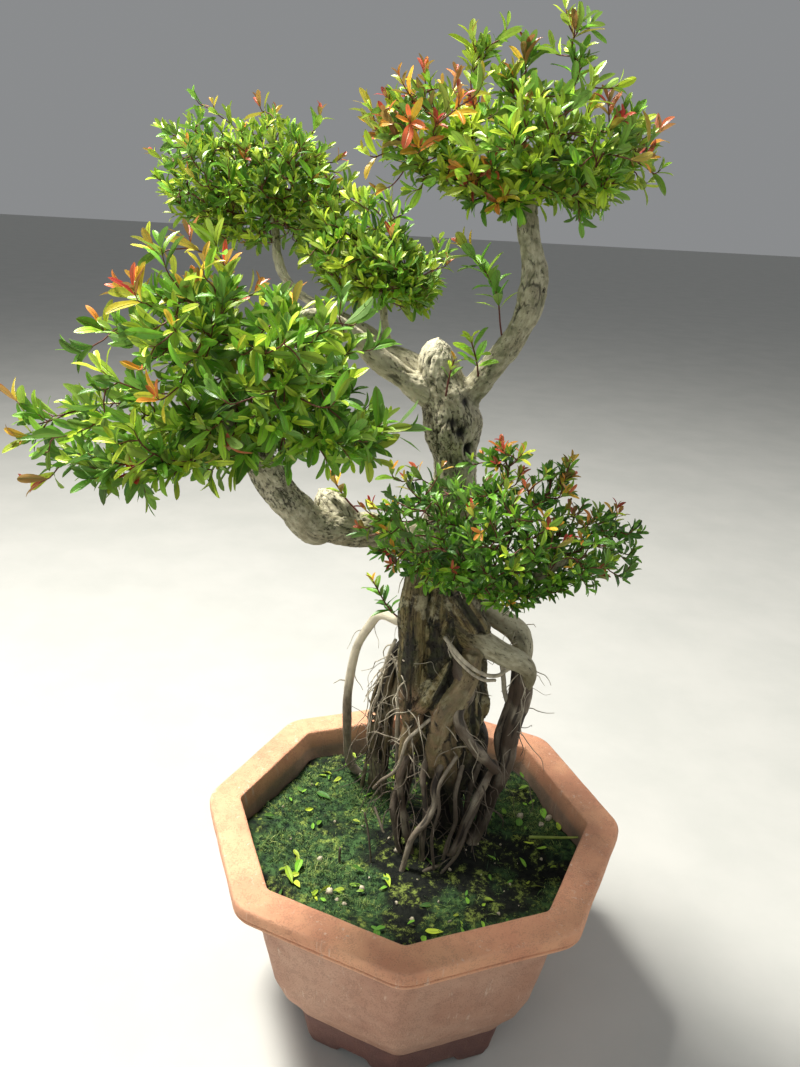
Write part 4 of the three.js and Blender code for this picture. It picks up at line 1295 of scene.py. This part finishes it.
def trunk_and_branches():
    """The trunk with its branches and the roots that have grown into it."""
    branches = [
        RIGHT_BRANCH, FRONT_LEFT_BRANCH, BACK_LEFT_BRANCH, MIDDLE_BRANCH, LOWER_LEFT_BRANCH,
        BRANCH_STUB, LOW_RIGHT_BRANCH
    ]
    routes = [TRUNK, *branches, *GROWN_IN]
    piece = wood_solid("trunk_and_branches", routes, TRUNK_VOXEL, 100)
    mesh = piece.data
    points = relax(mesh, points_of(mesh), 2)
    owner, place, radius = nearest_limb(points, routes)
    points = soften_joints(mesh, points, owner)

    def on(*limbs):
        return np.isin(owner, [[r is limb for r in routes].index(True) for limb in limbs]).astype(float)

    lower = 1 - smooth_step(176, 206, points[:, 2])
    tan_root = on(SMOOTH_ROOT, LEFT_BUTTRESS, CENTRE_ROOT)
    knuckles = on(KNUCKLE_ROOT, SHOULDER_ROOT) * smooth_step(20, 40, points[:, 0])
    pale_top = smooth_step(126, 144, points[:, 2])
    branch = on(RIGHT_BRANCH, FRONT_LEFT_BRANCH, BACK_LEFT_BRANCH, MIDDLE_BRANCH)
    smooth_limb = np.clip(tan_root + knuckles, 0, 1)
    calm = 1 - 0.75 * knuckles - 0.4 * tan_root
    own_grain = place + owner[:, None] * 37.0
    fissure = 1 - np.abs(rough(own_grain * [1, 1, 0.26], 3.8, 11, 2))
    fissure = smooth_step(0.8, 0.99, fissure) * smooth_step(-0.4, 0.4, bumps(points, 9, 13))
    flutes = rough(own_grain * [1, 1, 0.1], 5.5, 17, 2)
    flakes = np.round(bumps(own_grain * [1, 1, 0.6], 1.9, 19) * 2) / 2
    pits = smooth_step(0.3, 0.8, rough(own_grain * [1, 1, 0.7], 1.6, 23, 2))
    lumps = rough(points, 17, 29, 2)
    hollow = np.maximum(near(points, HOLLOWS, 3.2), 0.7 * near(points, CREASE, 3.4))
    size = np.clip(radius / 12, 0.25, 1.0)
    relief = size * lumps * (1.5 - 0.9 * smooth_limb) + 0.36 * flakes * calm * size
    relief += lower * flutes * 1.7 * calm - fissure * (0.35 + 0.75 * size) * calm
    relief -= 0.5 * pits * (1 - 0.3 * branch) * calm + 3.6 * hollow
    relief += 0.3 * branch * rough(own_grain * [1, 1, 0.5], 2.6, 33, 2)
    move_points(mesh, points + normals_of(mesh) * relief[:, None])
    x, z = points[:, 0], points[:, 2]
    # Painted shade: the trunk and the roots that grew into it are darkened low down, in the cave below the
    # trunk.
    cave_shade = smooth_step(92, 62, z) * (1 - tan_root) + smooth_step(74, 46, z) * tan_root
    # Painted shade in the grooves of the flutes; with the hollows and the crease it joins the bark's own
    # dark fissures.
    groove_shade = lower * smooth_step(0.05, -0.6, flutes) * calm
    cracks_and_crevice_shade = fissure * calm * 0.8 + hollow * 1.4 + 0.95 * groove_shade
    bright = smooth_step(190, 250, z) * 0.85 - 0.12 * on(RIGHT_BRANCH)
    bright = bright + knuckles * (0.15 + 0.5 * pale_top)
    bright = bright + 0.15 * tan_root * smooth_step(90, 130, z)
    bare = 0.75 * smooth_step(306, 322, z) * on(TRUNK)
    bare = bare + 0.5 * on(SHOULDER_ROOT) * pale_top * smooth_step(30, 50, x)
    bare = bare + 0.25 * on(FRONT_LEFT_BRANCH, BRANCH_STUB)
    rotten = lower * (1 - knuckles - 0.55 * tan_root) * (0.95 + 0.3 * bumps(points, 20, 3))
    tan_spots = near(points, [[-9, -20, 104], [-2, -20, 108], [-8, -19, 118]], 9)
    tan = tan_spots * 0.75 + 0.3 * on(SHOULDER_ROOT) + 0.42 * tan_root
    green = lower * 0.5 * calm + 0.8 * on(RIGHT_BRANCH) + 0.5 * on(LOWER_LEFT_BRANCH)
    clean = 0.2 * knuckles + 0.25 * tan_root + 0.22 * branch
    clean = clean - 0.25 * smooth_step(232, 262, z) * smooth_step(300, 284, z)
    values = {
        "grain": own_grain * 0.001,
        "cracks_and_crevice_shade": np.clip(cracks_and_crevice_shade, 0, 1),
        "bright": np.clip(bright, 0, 1),
        "bare": np.clip(bare, 0, 1),
        "rotten": np.clip(rotten, 0, 1),
        "tan": np.clip(tan, 0, 1),
        "shadow": np.clip(hollow * 1.2 + cave_shade * 0.95, 0, 0.95),
        "green": np.clip(green, 0, 1),
        "clean": clean,
    }
    add_all_values(mesh, values)
    return piece


def root_cage():
    """The free roots: the arch at the left and the cage below the trunk."""
    side_roots = [SIDE_ROOTS, SIDE_ROOT_2, SIDE_ROOT_3]
    inner_roots = [TAP_ROOT, BACK_ROOT_LEFT, BACK_ROOT_RIGHT]
    routes = [
        AERIAL_ROOT, *side_roots, PROP_ROOT, TWIN_ROOT, MID_ROOT, FRONT_ROOT_A, FRONT_ROOT_B,
        LEFT_ROOT, *inner_roots, SECOND_COLUMN
    ]
    piece = wood_solid("root_cage", routes, ROOT_VOXEL, 200)
    mesh = piece.data
    points = relax(mesh, points_of(mesh), 2)
    owner, place, radius = nearest_limb(points, routes)
    points = soften_joints(mesh, points, owner, 8)
    own_grain = place + owner[:, None] * 41.0
    rings = bumps(own_grain * [0.35, 0.35, 1], 2.4, 211)
    ridges = rough(own_grain * [1, 1, 0.14], 2.6, 213, 2)
    lumps = rough(points, 12, 217, 2)
    size = np.clip(radius / 6, 0.25, 1.0)
    aerial = (owner == 0).astype(float)
    side = np.isin(owner, [1, 2, 3]).astype(float)
    inner = np.isin(owner, [10, 11, 12]).astype(float)
    calm = 1 - 0.75 * aerial
    relief = size * (0.9 * lumps * calm + 0.42 * ridges * calm + 0.1 * rings) + side * ridges * 0.5
    move_points(mesh, points + normals_of(mesh) * relief[:, None])
    high = smooth_step(78, 112, points[:, 2])
    # Painted shade: the tap root and the back roots are darkened, and so are the other roots where they sit
    # behind and low down.
    shade_behind = smooth_step(-10, 6, points[:, 1]) * smooth_step(70, 30, points[:, 2]) * (1 - side) * (
        1 - aerial
    )
    bright = aerial * (0.15 + 0.85 * high) + 0.12 + 0.36 * bumps(points, 10, 219) * (1 - aerial)
    values = {
        "grain": own_grain * 0.001,
        # Painted shade in the grooves between the ridges of the roots.
        "cracks_and_crevice_shade": np.clip(smooth_step(0.0, -0.6, ridges) * (1 - aerial) * (0.8 + 0.2 * side), 0, 1),
        "bright": np.clip(bright, 0, 1),
        "bare": aerial * high,
        "rotten": np.clip(side * 0.45, 0, 1),
        "tan": np.clip(0.1 + 0.12 * (owner == 6), 0, 1),
        "shadow": np.clip(inner * 0.9 + shade_behind * 0.6, 0, 0.93),
        "green": np.clip(smooth_step(24, 2, points[:, 2]) * 0.6, 0, 1),
        "clean": np.full(len(points), 0.7) + 0.3 * aerial,
    }
    add_all_values(mesh, values)
    return piece


def hair_route(start, length, radius, draw, drift):
    """A thin root that wanders down from a place."""
    steps = max(4, int(length / 7))
    here = np.array(start, float)
    way = unit(draw.normal(0, 1, 3) * [1, 1, 0.4] + drift)
    route = [[*here, radius]]
    for i in range(steps):
        way = unit(way + draw.normal(0, 0.42, 3) + np.array([0, 0, -0.42]))
        here = here + way * length / steps
        route.append([*here, radius * (1 - 0.6 * (i + 1) / steps)])
    return route


def fine_rootlets(draw):
    """Hair roots that hang from the thicker ones."""
    sources = [
        (THIN_ROOTS[6], 16, 34), (SIDE_ROOTS, 44, 36), (SIDE_ROOT_2, 22, 34), (KNUCKLE_ROOT, 14, 20),
        (SHOULDER_ROOT, 8, 14)
    ]
    sources += [
        (PROP_ROOT, 34, 30), (SMOOTH_ROOT, 12, 26), (CENTRE_ROOT, 40, 40), (LEFT_BUTTRESS, 40, 40),
        (LEFT_COLUMN, 16, 26)
    ]
    sources += [
        (MID_ROOT, 10, 24), (AERIAL_ROOT, 8, 14), (TWIN_ROOT, 8, 22), (FRONT_ROOT_A, 8, 26),
        (TAP_ROOT, 34, 46)
    ]
    routes = [list(route) for route in THIN_ROOTS]
    for source, count, length in sources:
        line = smooth_line(source, 3)
        for _ in range(count):
            at = line[draw.integers(2, len(line))]
            way = unit(draw.normal(0, 1, 3) * [1, 1, 0.3])
            start = at[:3] + way * at[3] * 0.9
            radius = draw.uniform(0.22, 0.55)
            routes.append(hair_route(start, length * draw.uniform(0.5, 1.3), radius, draw, way * 1.4))
    shapes = []
    for route in routes:
        line = smooth_line(route, 1.6)
        wander = 0.5 * np.clip(line[:, 3:4], 0.3, 1.2)
        line[:, 0:1] += wander * bumps(line[:, :3], 8, 301)[:, None]
        line[:, 1:2] += wander * bumps(line[:, :3], 8, 302)[:, None]
        line[:, 2] = np.maximum(line[:, 2], ground_height(line[:, 0], line[:, 1]) - 1.5)
        shapes.append(tube(line, 10 if line[:, 3].max() > 0.9 else 6))
    points, quads, triangles = gather(shapes)
    lit = smooth_step(40, 130, points[:, 2])
    values = {
        "grain": points * 0.001,
        "cracks_and_crevice_shade": smooth_step(0.3, 0.9, bumps(points, 2.5, 303)) * 0.6,
        "bright": 0.1 + 0.6 * lit,
        "bare": 0.25 * lit,
        "rotten": np.zeros(len(points)),
        "tan": 0.12 + 0.2 * bumps(points, 12, 304),
        "shadow": 0.35 * smooth_step(70, 30, points[:, 2]),
        "green": smooth_step(20, 0, points[:, 2]) * 0.6,
        "clean": np.ones(len(points)),
    }
    return build_piece("fine_rootlets", points, quads, triangles, values)


# ---- Foliage ------------------------------------------------------------------------------


def skin_places(node, spacing, draw, tries=7000):
    """Places spread evenly over a CAD pad's skin, and the way it faces there."""
    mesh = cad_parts[node].data
    points = points_of(mesh)
    mesh.calc_loop_triangles()
    corners = np.empty(len(mesh.loop_triangles) * 3, np.int32)
    mesh.loop_triangles.foreach_get("vertices", corners)
    a, b, c = points[corners.reshape(-1, 3)].transpose(1, 0, 2)
    facing = np.cross(b - a, c - a)
    area = np.linalg.norm(facing, axis=1)
    facing = facing / np.maximum(area, 1e-9)[:, None]
    weight = area * np.where(facing[:, 2] < -0.55, 0.55, 1.0)
    picked = draw.choice(len(area), tries, p=weight / weight.sum())
    u = np.sqrt(draw.random(tries))[:, None]
    v = draw.random(tries)[:, None]
    found = a[picked] * (1 - u) + b[picked] * (u * (1 - v)) + c[picked] * (u * v)
    kept = []
    for i in range(tries):
        if not kept or ((found[kept] - found[i]) ** 2).sum(1).min() > spacing * spacing:
            kept.append(i)
    return found[kept], facing[picked[kept]]


def curved_twig(start, start_way, tip, tip_way, step):
    """Places along a twig that leaves one way and ends another way."""
    reach = np.linalg.norm(tip - start)
    a = start + start_way * reach * 0.33
    b = tip - tip_way * reach * 0.38
    count = max(3, math.ceil(reach / step))
    t = np.linspace(0, 1, count + 1)[:, None]
    return start * (1 - t) ** 3 + 3 * a * t * (1 - t) ** 2 + 3 * b * t**2 * (1 - t) + tip * t**3


def grow_twigs(starts, tips, tip_ways, draw):
    """Twigs from the branches' ends to every tip, each leaving the nearest twig before it.

    Gives each twig's start, its first place, its path and its tip's number, and how much
    every place carries.
    """
    nodes = [np.array(s[:3], float) for s in starts]
    ways = [unit(np.array(s[3:], float)) for s in starts]
    parents = [-1] * len(nodes)
    twigs = []
    middle = np.mean(nodes, axis=0)
    order = np.argsort(np.linalg.norm(tips - middle, axis=1))
    for i in order:
        here = np.array(nodes)
        gap = tips[i] - here
        far = np.linalg.norm(gap, axis=1)
        along = (gap * np.array(ways)).sum(1) / np.maximum(far, 1e-6)
        cost = far * (1.25 - 0.35 * along) + 400 * (far < 9)
        chosen = int(cost.argmin())
        way = unit(ways[chosen] * 0.6 + unit(tips[i] - nodes[chosen]))
        path = curved_twig(nodes[chosen], way, tips[i], tip_ways[i], 6.0)
        path[1:-1] += draw.normal(0, 0.45, (len(path) - 2, 3))
        twigs.append((chosen, len(nodes), path, i))
        directions = unit(np.gradient(path, axis=0))
        previous = chosen
        for place, direction in zip(path[1:-1], directions[1:-1]):
            parents.append(previous)
            previous = len(nodes)
            nodes.append(place)
            ways.append(direction)
    carried = np.ones(len(nodes))
    for index in range(len(nodes) - 1, -1, -1):
        if parents[index] >= 0:
            carried[parents[index]] += carried[index] * 0.22 + 0.02
    return twigs, carried


def twig_shapes(twigs, carried, thin, thick):
    """Tubes for the twigs, thicker where they carry more, and how young each point is."""
    shapes, youth = [], []
    for chosen, first, path, _ in twigs:
        inner = len(path) - 2
        load = np.concatenate([[carried[chosen]], carried[first : first + inner], [1.0]])
        load = np.minimum.accumulate(np.maximum(load, 1.0))
        radius = np.clip(thin * load**0.62, thin, thick)
        radius[0] = radius[1]
        radius[-1] = thin * 0.7
        shape = tube(smooth_line(np.column_stack([path, radius]), 3.0), 6)
        shapes.append(shape)
        places = np.linspace(0, 1, len(shape[0]))
        thickness = np.interp(places, np.linspace(0, 1, len(radius)), radius)
        size = smooth_step(thick * 0.7, thin * 0.9, thickness)
        youth.append(np.clip(size * 0.85, 0, 1))
    points, quads, triangles = gather(shapes)
    return points, quads, triangles, np.concatenate(youth)


def leaves_on(paths, look, flush, draw, leafy_shares=None):
    """Where opposite pairs of leaves sit along the shoots, and what each is like."""
    rows = []
    if leafy_shares is None:
        leafy_shares = np.ones(len(paths))
    for path, fresh, share in zip(paths, flush, leafy_shares):
        line = smooth_line(np.column_stack([path, np.ones(len(path))]), 1.0)[:, :3]
        ahead, side, across = frames_along(np.column_stack([line, np.ones(len(line))]))
        total = np.linalg.norm(np.diff(line, axis=0), axis=1).sum()
        leafy = min(total * 0.92, look["leafy"] * share * draw.uniform(0.75, 1.25))
        gap = look["gap"] * draw.uniform(0.85, 1.15)
        pairs = max(3, int(leafy / gap))
        turn = draw.uniform(0, math.pi)
        vigour = draw.uniform(0.8, 1.15)
        mood = draw.normal(0, 0.08)
        for pair in range(pairs):
            from_tip = 0.6 + pair * gap * (0.55 + 0.45 * min(pair / 3, 1))
            at = max(0, len(line) - 1 - int(from_tip))
            turn += math.pi / 2 + draw.normal(0, 0.22)
            grown = min(1.0, 0.52 + 0.2 * pair)
            ripe = math.exp(-((pair / look.get("ripe", 2.4)) ** 2))
            for sign in (1, -1):
                angle = turn + draw.normal(0, 0.16)
                out = (side[at] * math.cos(angle) + across[at] * math.sin(angle)) * sign
                open_by = math.radians(draw.normal(22 + 28 * min(pair / 4, 1), 8))
                way = ahead[at] * math.cos(open_by) + out * math.sin(open_by)
                upper = ahead[at] * math.sin(open_by) - out * math.cos(open_by)
                way = way + UP * draw.uniform(0.0, 0.5)
                upper = upper + UP * draw.uniform(0.25, 0.75)
                length = look["length"] * vigour * grown * draw.uniform(0.82, 1.14)
                age = look["age"] + mood + draw.normal(0, 0.07) + (fresh - look["age"]) * ripe
                age = age - 0.16 * min(pair / 5, 1)
                age = min(age, 0.66) if fresh < 0.72 else age
                rows.append([*line[at], *way, *upper, length, age])
    return np.array(rows)


def leaves_from_rows(name, rows, width, draw, curl):
    """The leaves that `leaves_on` has placed, as one object."""
    at, ahead, upper = rows[:, :3], rows[:, 3:6], rows[:, 6:9]
    return leaves(name, at, ahead, upper, rows[:, 9], width, rows[:, 10], draw, curl)


# Each pad's twig spacing, leaf length and gap, leafy length of a twig, leaf age, share of
# fresh shoots, leaf width as a share of length, bare reach at the branch, warm place, the
# ends of its branch with their directions, and its leading shoots.
PADS = {
    "lower_left": {
        "spacing": 10.2, "inner": 0.6, "length": 18, "gap": 6.0, "leafy": 46, "age": 0.46,
        "fresh": 0.1, "ratio": 0.29, "bare": 8,
        "warm": [-120, -70, 350], "warm_reach": 60, "slope_from": -128,
        "starts": [
            [-96, -66, 284, -0.4, -0.3, 0.8], [-104, -72, 300, -0.3, -0.2, 0.9],
            [-67, -48, 341, -0.4, -0.4, 0.8], [-74, -62, 338, -0.4, -0.7, 0.5],
            [-90, -60, 270, -0.5, -0.4, 0.6]
        ],
        "leaders": [
            [[-160, -84, 292], [-200, -82, 300]], [[-156, -86, 284], [-196, -84, 281]],
            [[-148, -90, 274], [-184, -94, 263]],
            [[-140, -82, 306], [-168, -80, 322]], [[-128, -80, 326], [-144, -80, 350]],
            [[-100, -76, 350], [-104, -76, 374]], [[-46, -74, 300], [-14, -84, 296]],
        ],
    },
    "upper_left": {
        "spacing": 7.6, "inner": 0.9, "length": 12.5, "gap": 4.2, "leafy": 36, "age": 0.52,
        "fresh": 0.14, "ratio": 0.31, "bare": 26,
        "warm": [-95, 85, 440], "warm_reach": 40,
        "starts": [[-104, 82, 356, -0.2, 0, 1], [-107, 86, 378, 0, 0, 1], [-112, 88, 394, 0, 0, 1]],
        "leaders": [[[-150, 92, 425], [-156, 92, 446]], [[-84, 86, 416], [-80, 86, 440]]],
    },
    "middle": {
        "spacing": 8.0, "inner": 0.8, "length": 14, "gap": 4.8, "leafy": 38, "age": 0.54,
        "fresh": 0.06, "ratio": 0.3, "bare": 14,
        "warm": [-20, 50, 380], "warm_reach": 30,
        "starts": [[-37, 50, 339, 0, 0, 1], [-40, 52, 354, 0, 0, 1]],
        "leaders": [[[-40, 50, 380], [-36, 50, 396]]],
    },
    "top_right": {
        "spacing": 8.2, "inner": 0.8, "length": 14, "gap": 4.6, "leafy": 38, "age": 0.52,
        "fresh": 0.34, "ratio": 0.31, "bare": 10,
        "rosette": 0.5, "sparse_above": 443, "ripe": 4.6,
        "warm": [-18, -18, 426], "warm_reach": 52,
        "starts": [[37, -5, 398, -0.1, 0, 1], [34, -6, 416, 0, 0, 1], [39, -5, 384, 0.3, 0, 0.8]],
        "leaders": [
            [[7, -12, 428], [6, -12, 442]], [[5, -13, 455], [4, -14, 467]],
            [[31, -12, 430], [30, -12, 442]], [[29, -13, 453], [29, -14, 463]],
            [[54, -12, 432], [53, -12, 446]], [[52, -13, 460], [51, -14, 474]],
            [[-24, -13, 420], [-38, -14, 430]], [[-27, -14, 408], [-44, -14, 415]],
            [[-20, -15, 399], [-35, -16, 399]],
            [[-26, -20, 426], [-35, -22, 440]],
        ],
    },
    "low_right": {
        "spacing": 7.8, "inner": 0.8, "length": 10.8, "gap": 4.0, "leafy": 36, "age": 0.34,
        "fresh": 0.24, "ratio": 0.31, "bare": 6,
        "warm": [60, -46, 270], "warm_reach": 40,
        "starts": [
            [36, -32, 198, 0.4, -0.4, 0.6], [54, -42, 208, 0.5, -0.2, 0.7],
            [72, -46, 222, 0.5, 0, 0.6], [22, -18, 194, 0, -0.5, 0.8]
        ],
        "leaders": [
            [[33, -48, 256], [32, -48, 284]], [[62, -48, 250], [66, -48, 274]],
            [[84, -46, 232], [108, -46, 240]], [[-14, -50, 232], [-36, -52, 246]]
        ],
    },
}


def foliage_pad(name, look, draw):
    """One pad of foliage: its twigs and its leaves."""
    node = "foliage_" + name
    tips, facing = skin_places(node, look["spacing"], draw)
    length = look["length"]
    proud = (draw.random(len(tips)) < 0.3) & (facing[:, 2] > -0.35)
    ways = unit(facing * np.where(proud, 0.7, 1.0)[:, None] + UP * np.where(proud, 1.15, 0.85)[:, None])
    reach = np.where(proud, draw.uniform(0.0, 0.6, len(tips)), -draw.uniform(0.35, 0.95, len(tips)))
    tips = tips + np.where(proud[:, None], ways, facing) * (reach * length)[:, None]
    slope_from = look.get("slope_from", -300)
    beyond = smooth_step(slope_from, slope_from - 60, tips[:, 0])
    tips[:, 2] -= beyond * np.clip(tips[:, 2] - 286, 0, None) * 0.75
    kept = np.linalg.norm(tips - look["starts"][0][:3], axis=1) > look["bare"]
    sparse = 0.62 * beyond + 0.6 * (tips[:, 2] > look.get("sparse_above", 999))
    kept &= draw.random(len(tips)) > sparse
    tips, facing, ways, proud = tips[kept], facing[kept], ways[kept], proud[kept]
    inner_count = int(len(tips) * look["inner"])
    chosen = draw.choice(len(tips), inner_count, replace=False)
    middle = np.mean([s[:3] for s in look["starts"]], axis=0)
    inner = tips[chosen] + (middle - tips[chosen]) * draw.uniform(0.15, 0.5, (inner_count, 1))
    warm = np.linalg.norm(tips - look["warm"], axis=1) < look["warm_reach"]
    chance = look["fresh"] * np.where(proud, 1.9, 0.4) * np.where(warm, 3.0, 0.5)
    chance = np.concatenate([chance, np.zeros(inner_count)])
    tips = np.vstack([tips, inner + draw.normal(0, 4, inner.shape)])
    ways = np.vstack([ways, unit(ways[chosen] + UP * 0.3)])
    chance = np.concatenate([chance, np.tile([0.0, 3.0 * look["fresh"] + 0.1], len(look["leaders"]))])
    for base, top in look["leaders"]:
        tips = np.vstack([tips, [base], [top]])
        way = unit(np.array(top) - np.array(base))
        ways = np.vstack([ways, [way], [way]])
    twigs, carried = grow_twigs(look["starts"], tips, ways, draw)
    order = [twig[3] for twig in twigs]
    points, quads, triangles, youth = twig_shapes(twigs, carried, 0.3, 1.9)
    wood = build_piece("twigs_" + name, points, quads, triangles, {"youth": youth})
    plain = look["age"] + draw.uniform(0.0, 0.16, len(twigs))
    flush = np.where(draw.random(len(twigs)) < chance[order], draw.uniform(0.76, 1.04, len(twigs)), plain)
    first_leader = len(tips) - 2 * len(look["leaders"])
    leader_share = np.where(np.array(order) >= first_leader, look.get("rosette", 1.0), 1.0)
    rows = leaves_on([twig[2] for twig in twigs], look, flush, draw, leader_share)
    rows = rows[np.linalg.norm(rows[:, :3] - look["starts"][0][:3], axis=1) > look["bare"] * 0.6]
    width = rows[:, 9] * look["ratio"] * draw.uniform(0.85, 1.15, len(rows))
    return wood, leaves_from_rows("leaves_" + name, rows, width, draw, 0.55)


# Each single shoot's stem, leaf length, freshness and age.
SHOOTS = {
    "crotch_shoot": (
        [[32, 0, 324], [30, 8, 334], [27, 10, 349], [19, 9, 362], [6, 8, 374]], 14, 0.84, 0.66
    ),
    "crotch_cluster": ([[20, -2, 307], [18, -10, 317], [14, -18, 329]], 13, 0.56, 0.5),
    "trunk_shoot": ([[3, -12, 298], [4, -15, 308], [6, -16, 318]], 10, 0.86, 0.72),
    "stub_shoot": ([[-40, -31, 236], [-47, -30, 243], [-55, -29, 254]], 11, 0.88, 0.62),
    "side_shoot": ([[-12, -3, 158], [-22, -5, 168], [-32, -4, 184]], 12, 0.86, 0.5),
}


def small_shoots(draw):
    """The single shoots on the trunk and branches."""
    shapes, youth, rows = [], [], []
    for stem, length, fresh, age in SHOOTS.values():
        line = smooth_line([[*place, 0.55 - 0.07 * i] for i, place in enumerate(stem)], 2.0)
        shape = tube(line, 8)
        shapes.append(shape)
        youth.append(np.full(len(shape[0]), 0.8))
        look = {"leafy": 60, "gap": 3.8, "length": length, "age": age}
        rows.append(leaves_on([line[:, :3]], look, [fresh], draw))
    points, quads, triangles = gather(shapes)
    stems = build_piece("shoot_stems", points, quads, triangles, {"youth": np.concatenate(youth)})
    rows = np.vstack(rows)
    width = rows[:, 9] * 0.38
    return stems, leaves_from_rows("shoot_leaves", rows, width, draw, 0.5)


def fallen_twig():
    """A fresh green twig that lies on the moss at the right."""
    route = [[78, 3, 4.6, 1.0], [90, 3.4, 5.0, 0.95], [101, 4.2, 5.2, 0.85], [110, 4, 6.4, 0.6]]
    return build_piece("fallen_green_twig", *tube(smooth_line(route, 1.5), 10))


# ---- The whole tree -----------------------------------------------------------------------

BRANCH_NODES = ["trunk", "right_branch", "front_left_branch", "back_left_branch", "middle_branch"]
BRANCH_NODES += ["lower_left_branch", "branch_stub", "low_right_branch", "shoulder_root", "knuckle_root"]
ROOT_NODES = ["aerial_root", "side_root_bundle", "prop_root", "twin_root"]
ROOT_NODES += [
    "mid_root", "front_root_a", "front_root_b", "left_root", "tap_root", "back_root_left",
    "back_root_right"
]


def dress_cad_soil():
    """The soil below the moss keeps its CAD shape."""
    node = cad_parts["soil"]
    node.data.materials.clear()
    node.data.materials.append(potting_soil())


def numbered(name, count):
    """A node's name with each number from 1 to count."""
    return [f"{name}_{i}" for i in range(1, count + 1)]


def make_object():
    """Every piece of the bonsai, with its finish."""
    dress(clay_pot(), terracotta(), "terracotta", "pot")
    dress_cad_soil()
    dress(mossy_bed(), mossy_ground(), "moss", "moss")
    dress(moss_threads(np.random.default_rng(11)), moss_blades(), "moss")
    litter = litter_leaves(np.random.default_rng(12))
    fallen = leaf_finish("Fallen leaf", 0.5, paint(150, 150, 84), 0.15)
    dress(litter, fallen, "fallen_leaves", *numbered("fallen_leaf", 7))
    stones = pebbles(np.random.default_rng(13))
    dress(stones, pale_stone(), "pale_stone", *numbered("pebble", 6))
    dress(fallen_twig(), green_stem(), "green_stem", "green_twig")
    trunk_colours = paint(212, 206, 176), paint(116, 107, 76), paint(26, 22, 14), paint(138, 110, 82)
    root_colours = paint(222, 212, 186), paint(84, 70, 56), paint(26, 20, 15), paint(164, 138, 108)
    trunk_bark = bark("Trunk bark", *trunk_colours)
    root_bark = bark("Root bark", *root_colours)
    dress(trunk_and_branches(), trunk_bark, "trunk_bark", *BRANCH_NODES)
    dress(root_cage(), root_bark, "root_bark", *ROOT_NODES)
    dress(fine_rootlets(np.random.default_rng(14)), root_bark, "root_bark")
    twig_finish = twig_bark()
    leaf = leaf_finish("Leaf", 0.3, paint(120, 148, 84), 0.22)
    for i, (name, look) in enumerate(PADS.items()):
        wood, green = foliage_pad(name, look, np.random.default_rng(20 + i))
        dress(wood, twig_finish, "trunk_bark")
        dress(green, leaf, "leaves", "foliage_" + name)
    stems, blades = small_shoots(np.random.default_rng(30))
    dress(stems, twig_finish, "young_leaves")
    dress(blades, leaf, "young_leaves", *SHOOTS)


# ---- Setting ------------------------------------------------------------------------------


SENSOR_WIDTH = 36
LENS = 30.12
NEAREST = 0.01
CAMERA_PLACE = (-0.0016, -0.4846, 0.5168)  # metres from the pot's middle
CAMERA_AHEAD = (-0.0315, 0.9363, -0.3499)
CAMERA_UP = (-0.0643, 0.3474, 0.9355)
FLOOR_REACH = 14.0
LIGHTS_AIM = (0, 0, 0.25)
SKY_COLOUR = (0.80, 0.82, 0.84, 1)
SKY_STRENGTH = 0.32


def set_camera():
    """A camera in front of the pot and above it, a little turned and tilted."""
    data = bpy.data.cameras.new("Camera")
    data.sensor_width = SENSOR_WIDTH
    data.lens = LENS
    data.clip_start = NEAREST
    camera = bpy.data.objects.new("Camera", data)
    ahead = Vector(CAMERA_AHEAD).normalized()
    right = ahead.cross(Vector(CAMERA_UP)).normalized()
    turn = Matrix((right, right.cross(ahead), -ahead)).transposed()
    place = Matrix.Translation(Vector(POT_MIDDLE) + Vector(CAMERA_PLACE))
    camera.matrix_world = place @ turn.to_4x4()
    bpy.context.scene.collection.objects.link(camera)
    bpy.context.scene.camera = camera


def soft_light(name, place, size, power, colour):
    """A large soft lamp, in metres from the pot's middle, turned towards the tree."""
    data = bpy.data.lights.new(name, "AREA")
    data.size = size
    data.energy = power
    data.color = colour
    lamp = bpy.data.objects.new(name, data)
    where = Vector(POT_MIDDLE) + Vector(place)
    target = Vector(POT_MIDDLE) + Vector(LIGHTS_AIM)
    lamp.location = where
    lamp.rotation_euler = (target - where).to_track_quat("-Z", "Y").to_euler()
    bpy.context.scene.collection.objects.link(lamp)


def set_stage():
    """A pale floor, a high key light at the left, weak ones in front and at the right, and a sky."""
    reach = FLOOR_REACH
    corners = [(-reach, -reach, 0), (reach, -reach, 0), (reach, reach, 0), (-reach, reach, 0)]
    mesh = bpy.data.meshes.new("floor")
    mesh.from_pydata(corners, [], [(0, 1, 2, 3)])
    floor = bpy.data.objects.new("floor", mesh)
    bpy.context.scene.collection.objects.link(floor)
    mesh.materials.append(pale_floor())
    soft_light("Key", (-0.62, 0.2, 1.7), 0.32, 66, (1.0, 0.97, 0.91))
    soft_light("Fill", (-0.9, -1.5, 1.0), 1.6, 8, (0.95, 0.98, 1.0))
    soft_light("Side", (1.6, 0.5, 0.9), 1.0, 7, (1.0, 0.99, 0.97))
    world = bpy.data.worlds.new("Studio")
    bpy.context.scene.world = world
    world.use_nodes = True
    sky = world.node_tree.nodes["Background"]
    sky.inputs["Color"].default_value = SKY_COLOUR
    sky.inputs["Strength"].default_value = SKY_STRENGTH
    bpy.context.scene.view_settings.view_transform = "Standard"


set_camera()
set_stage()
make_object()
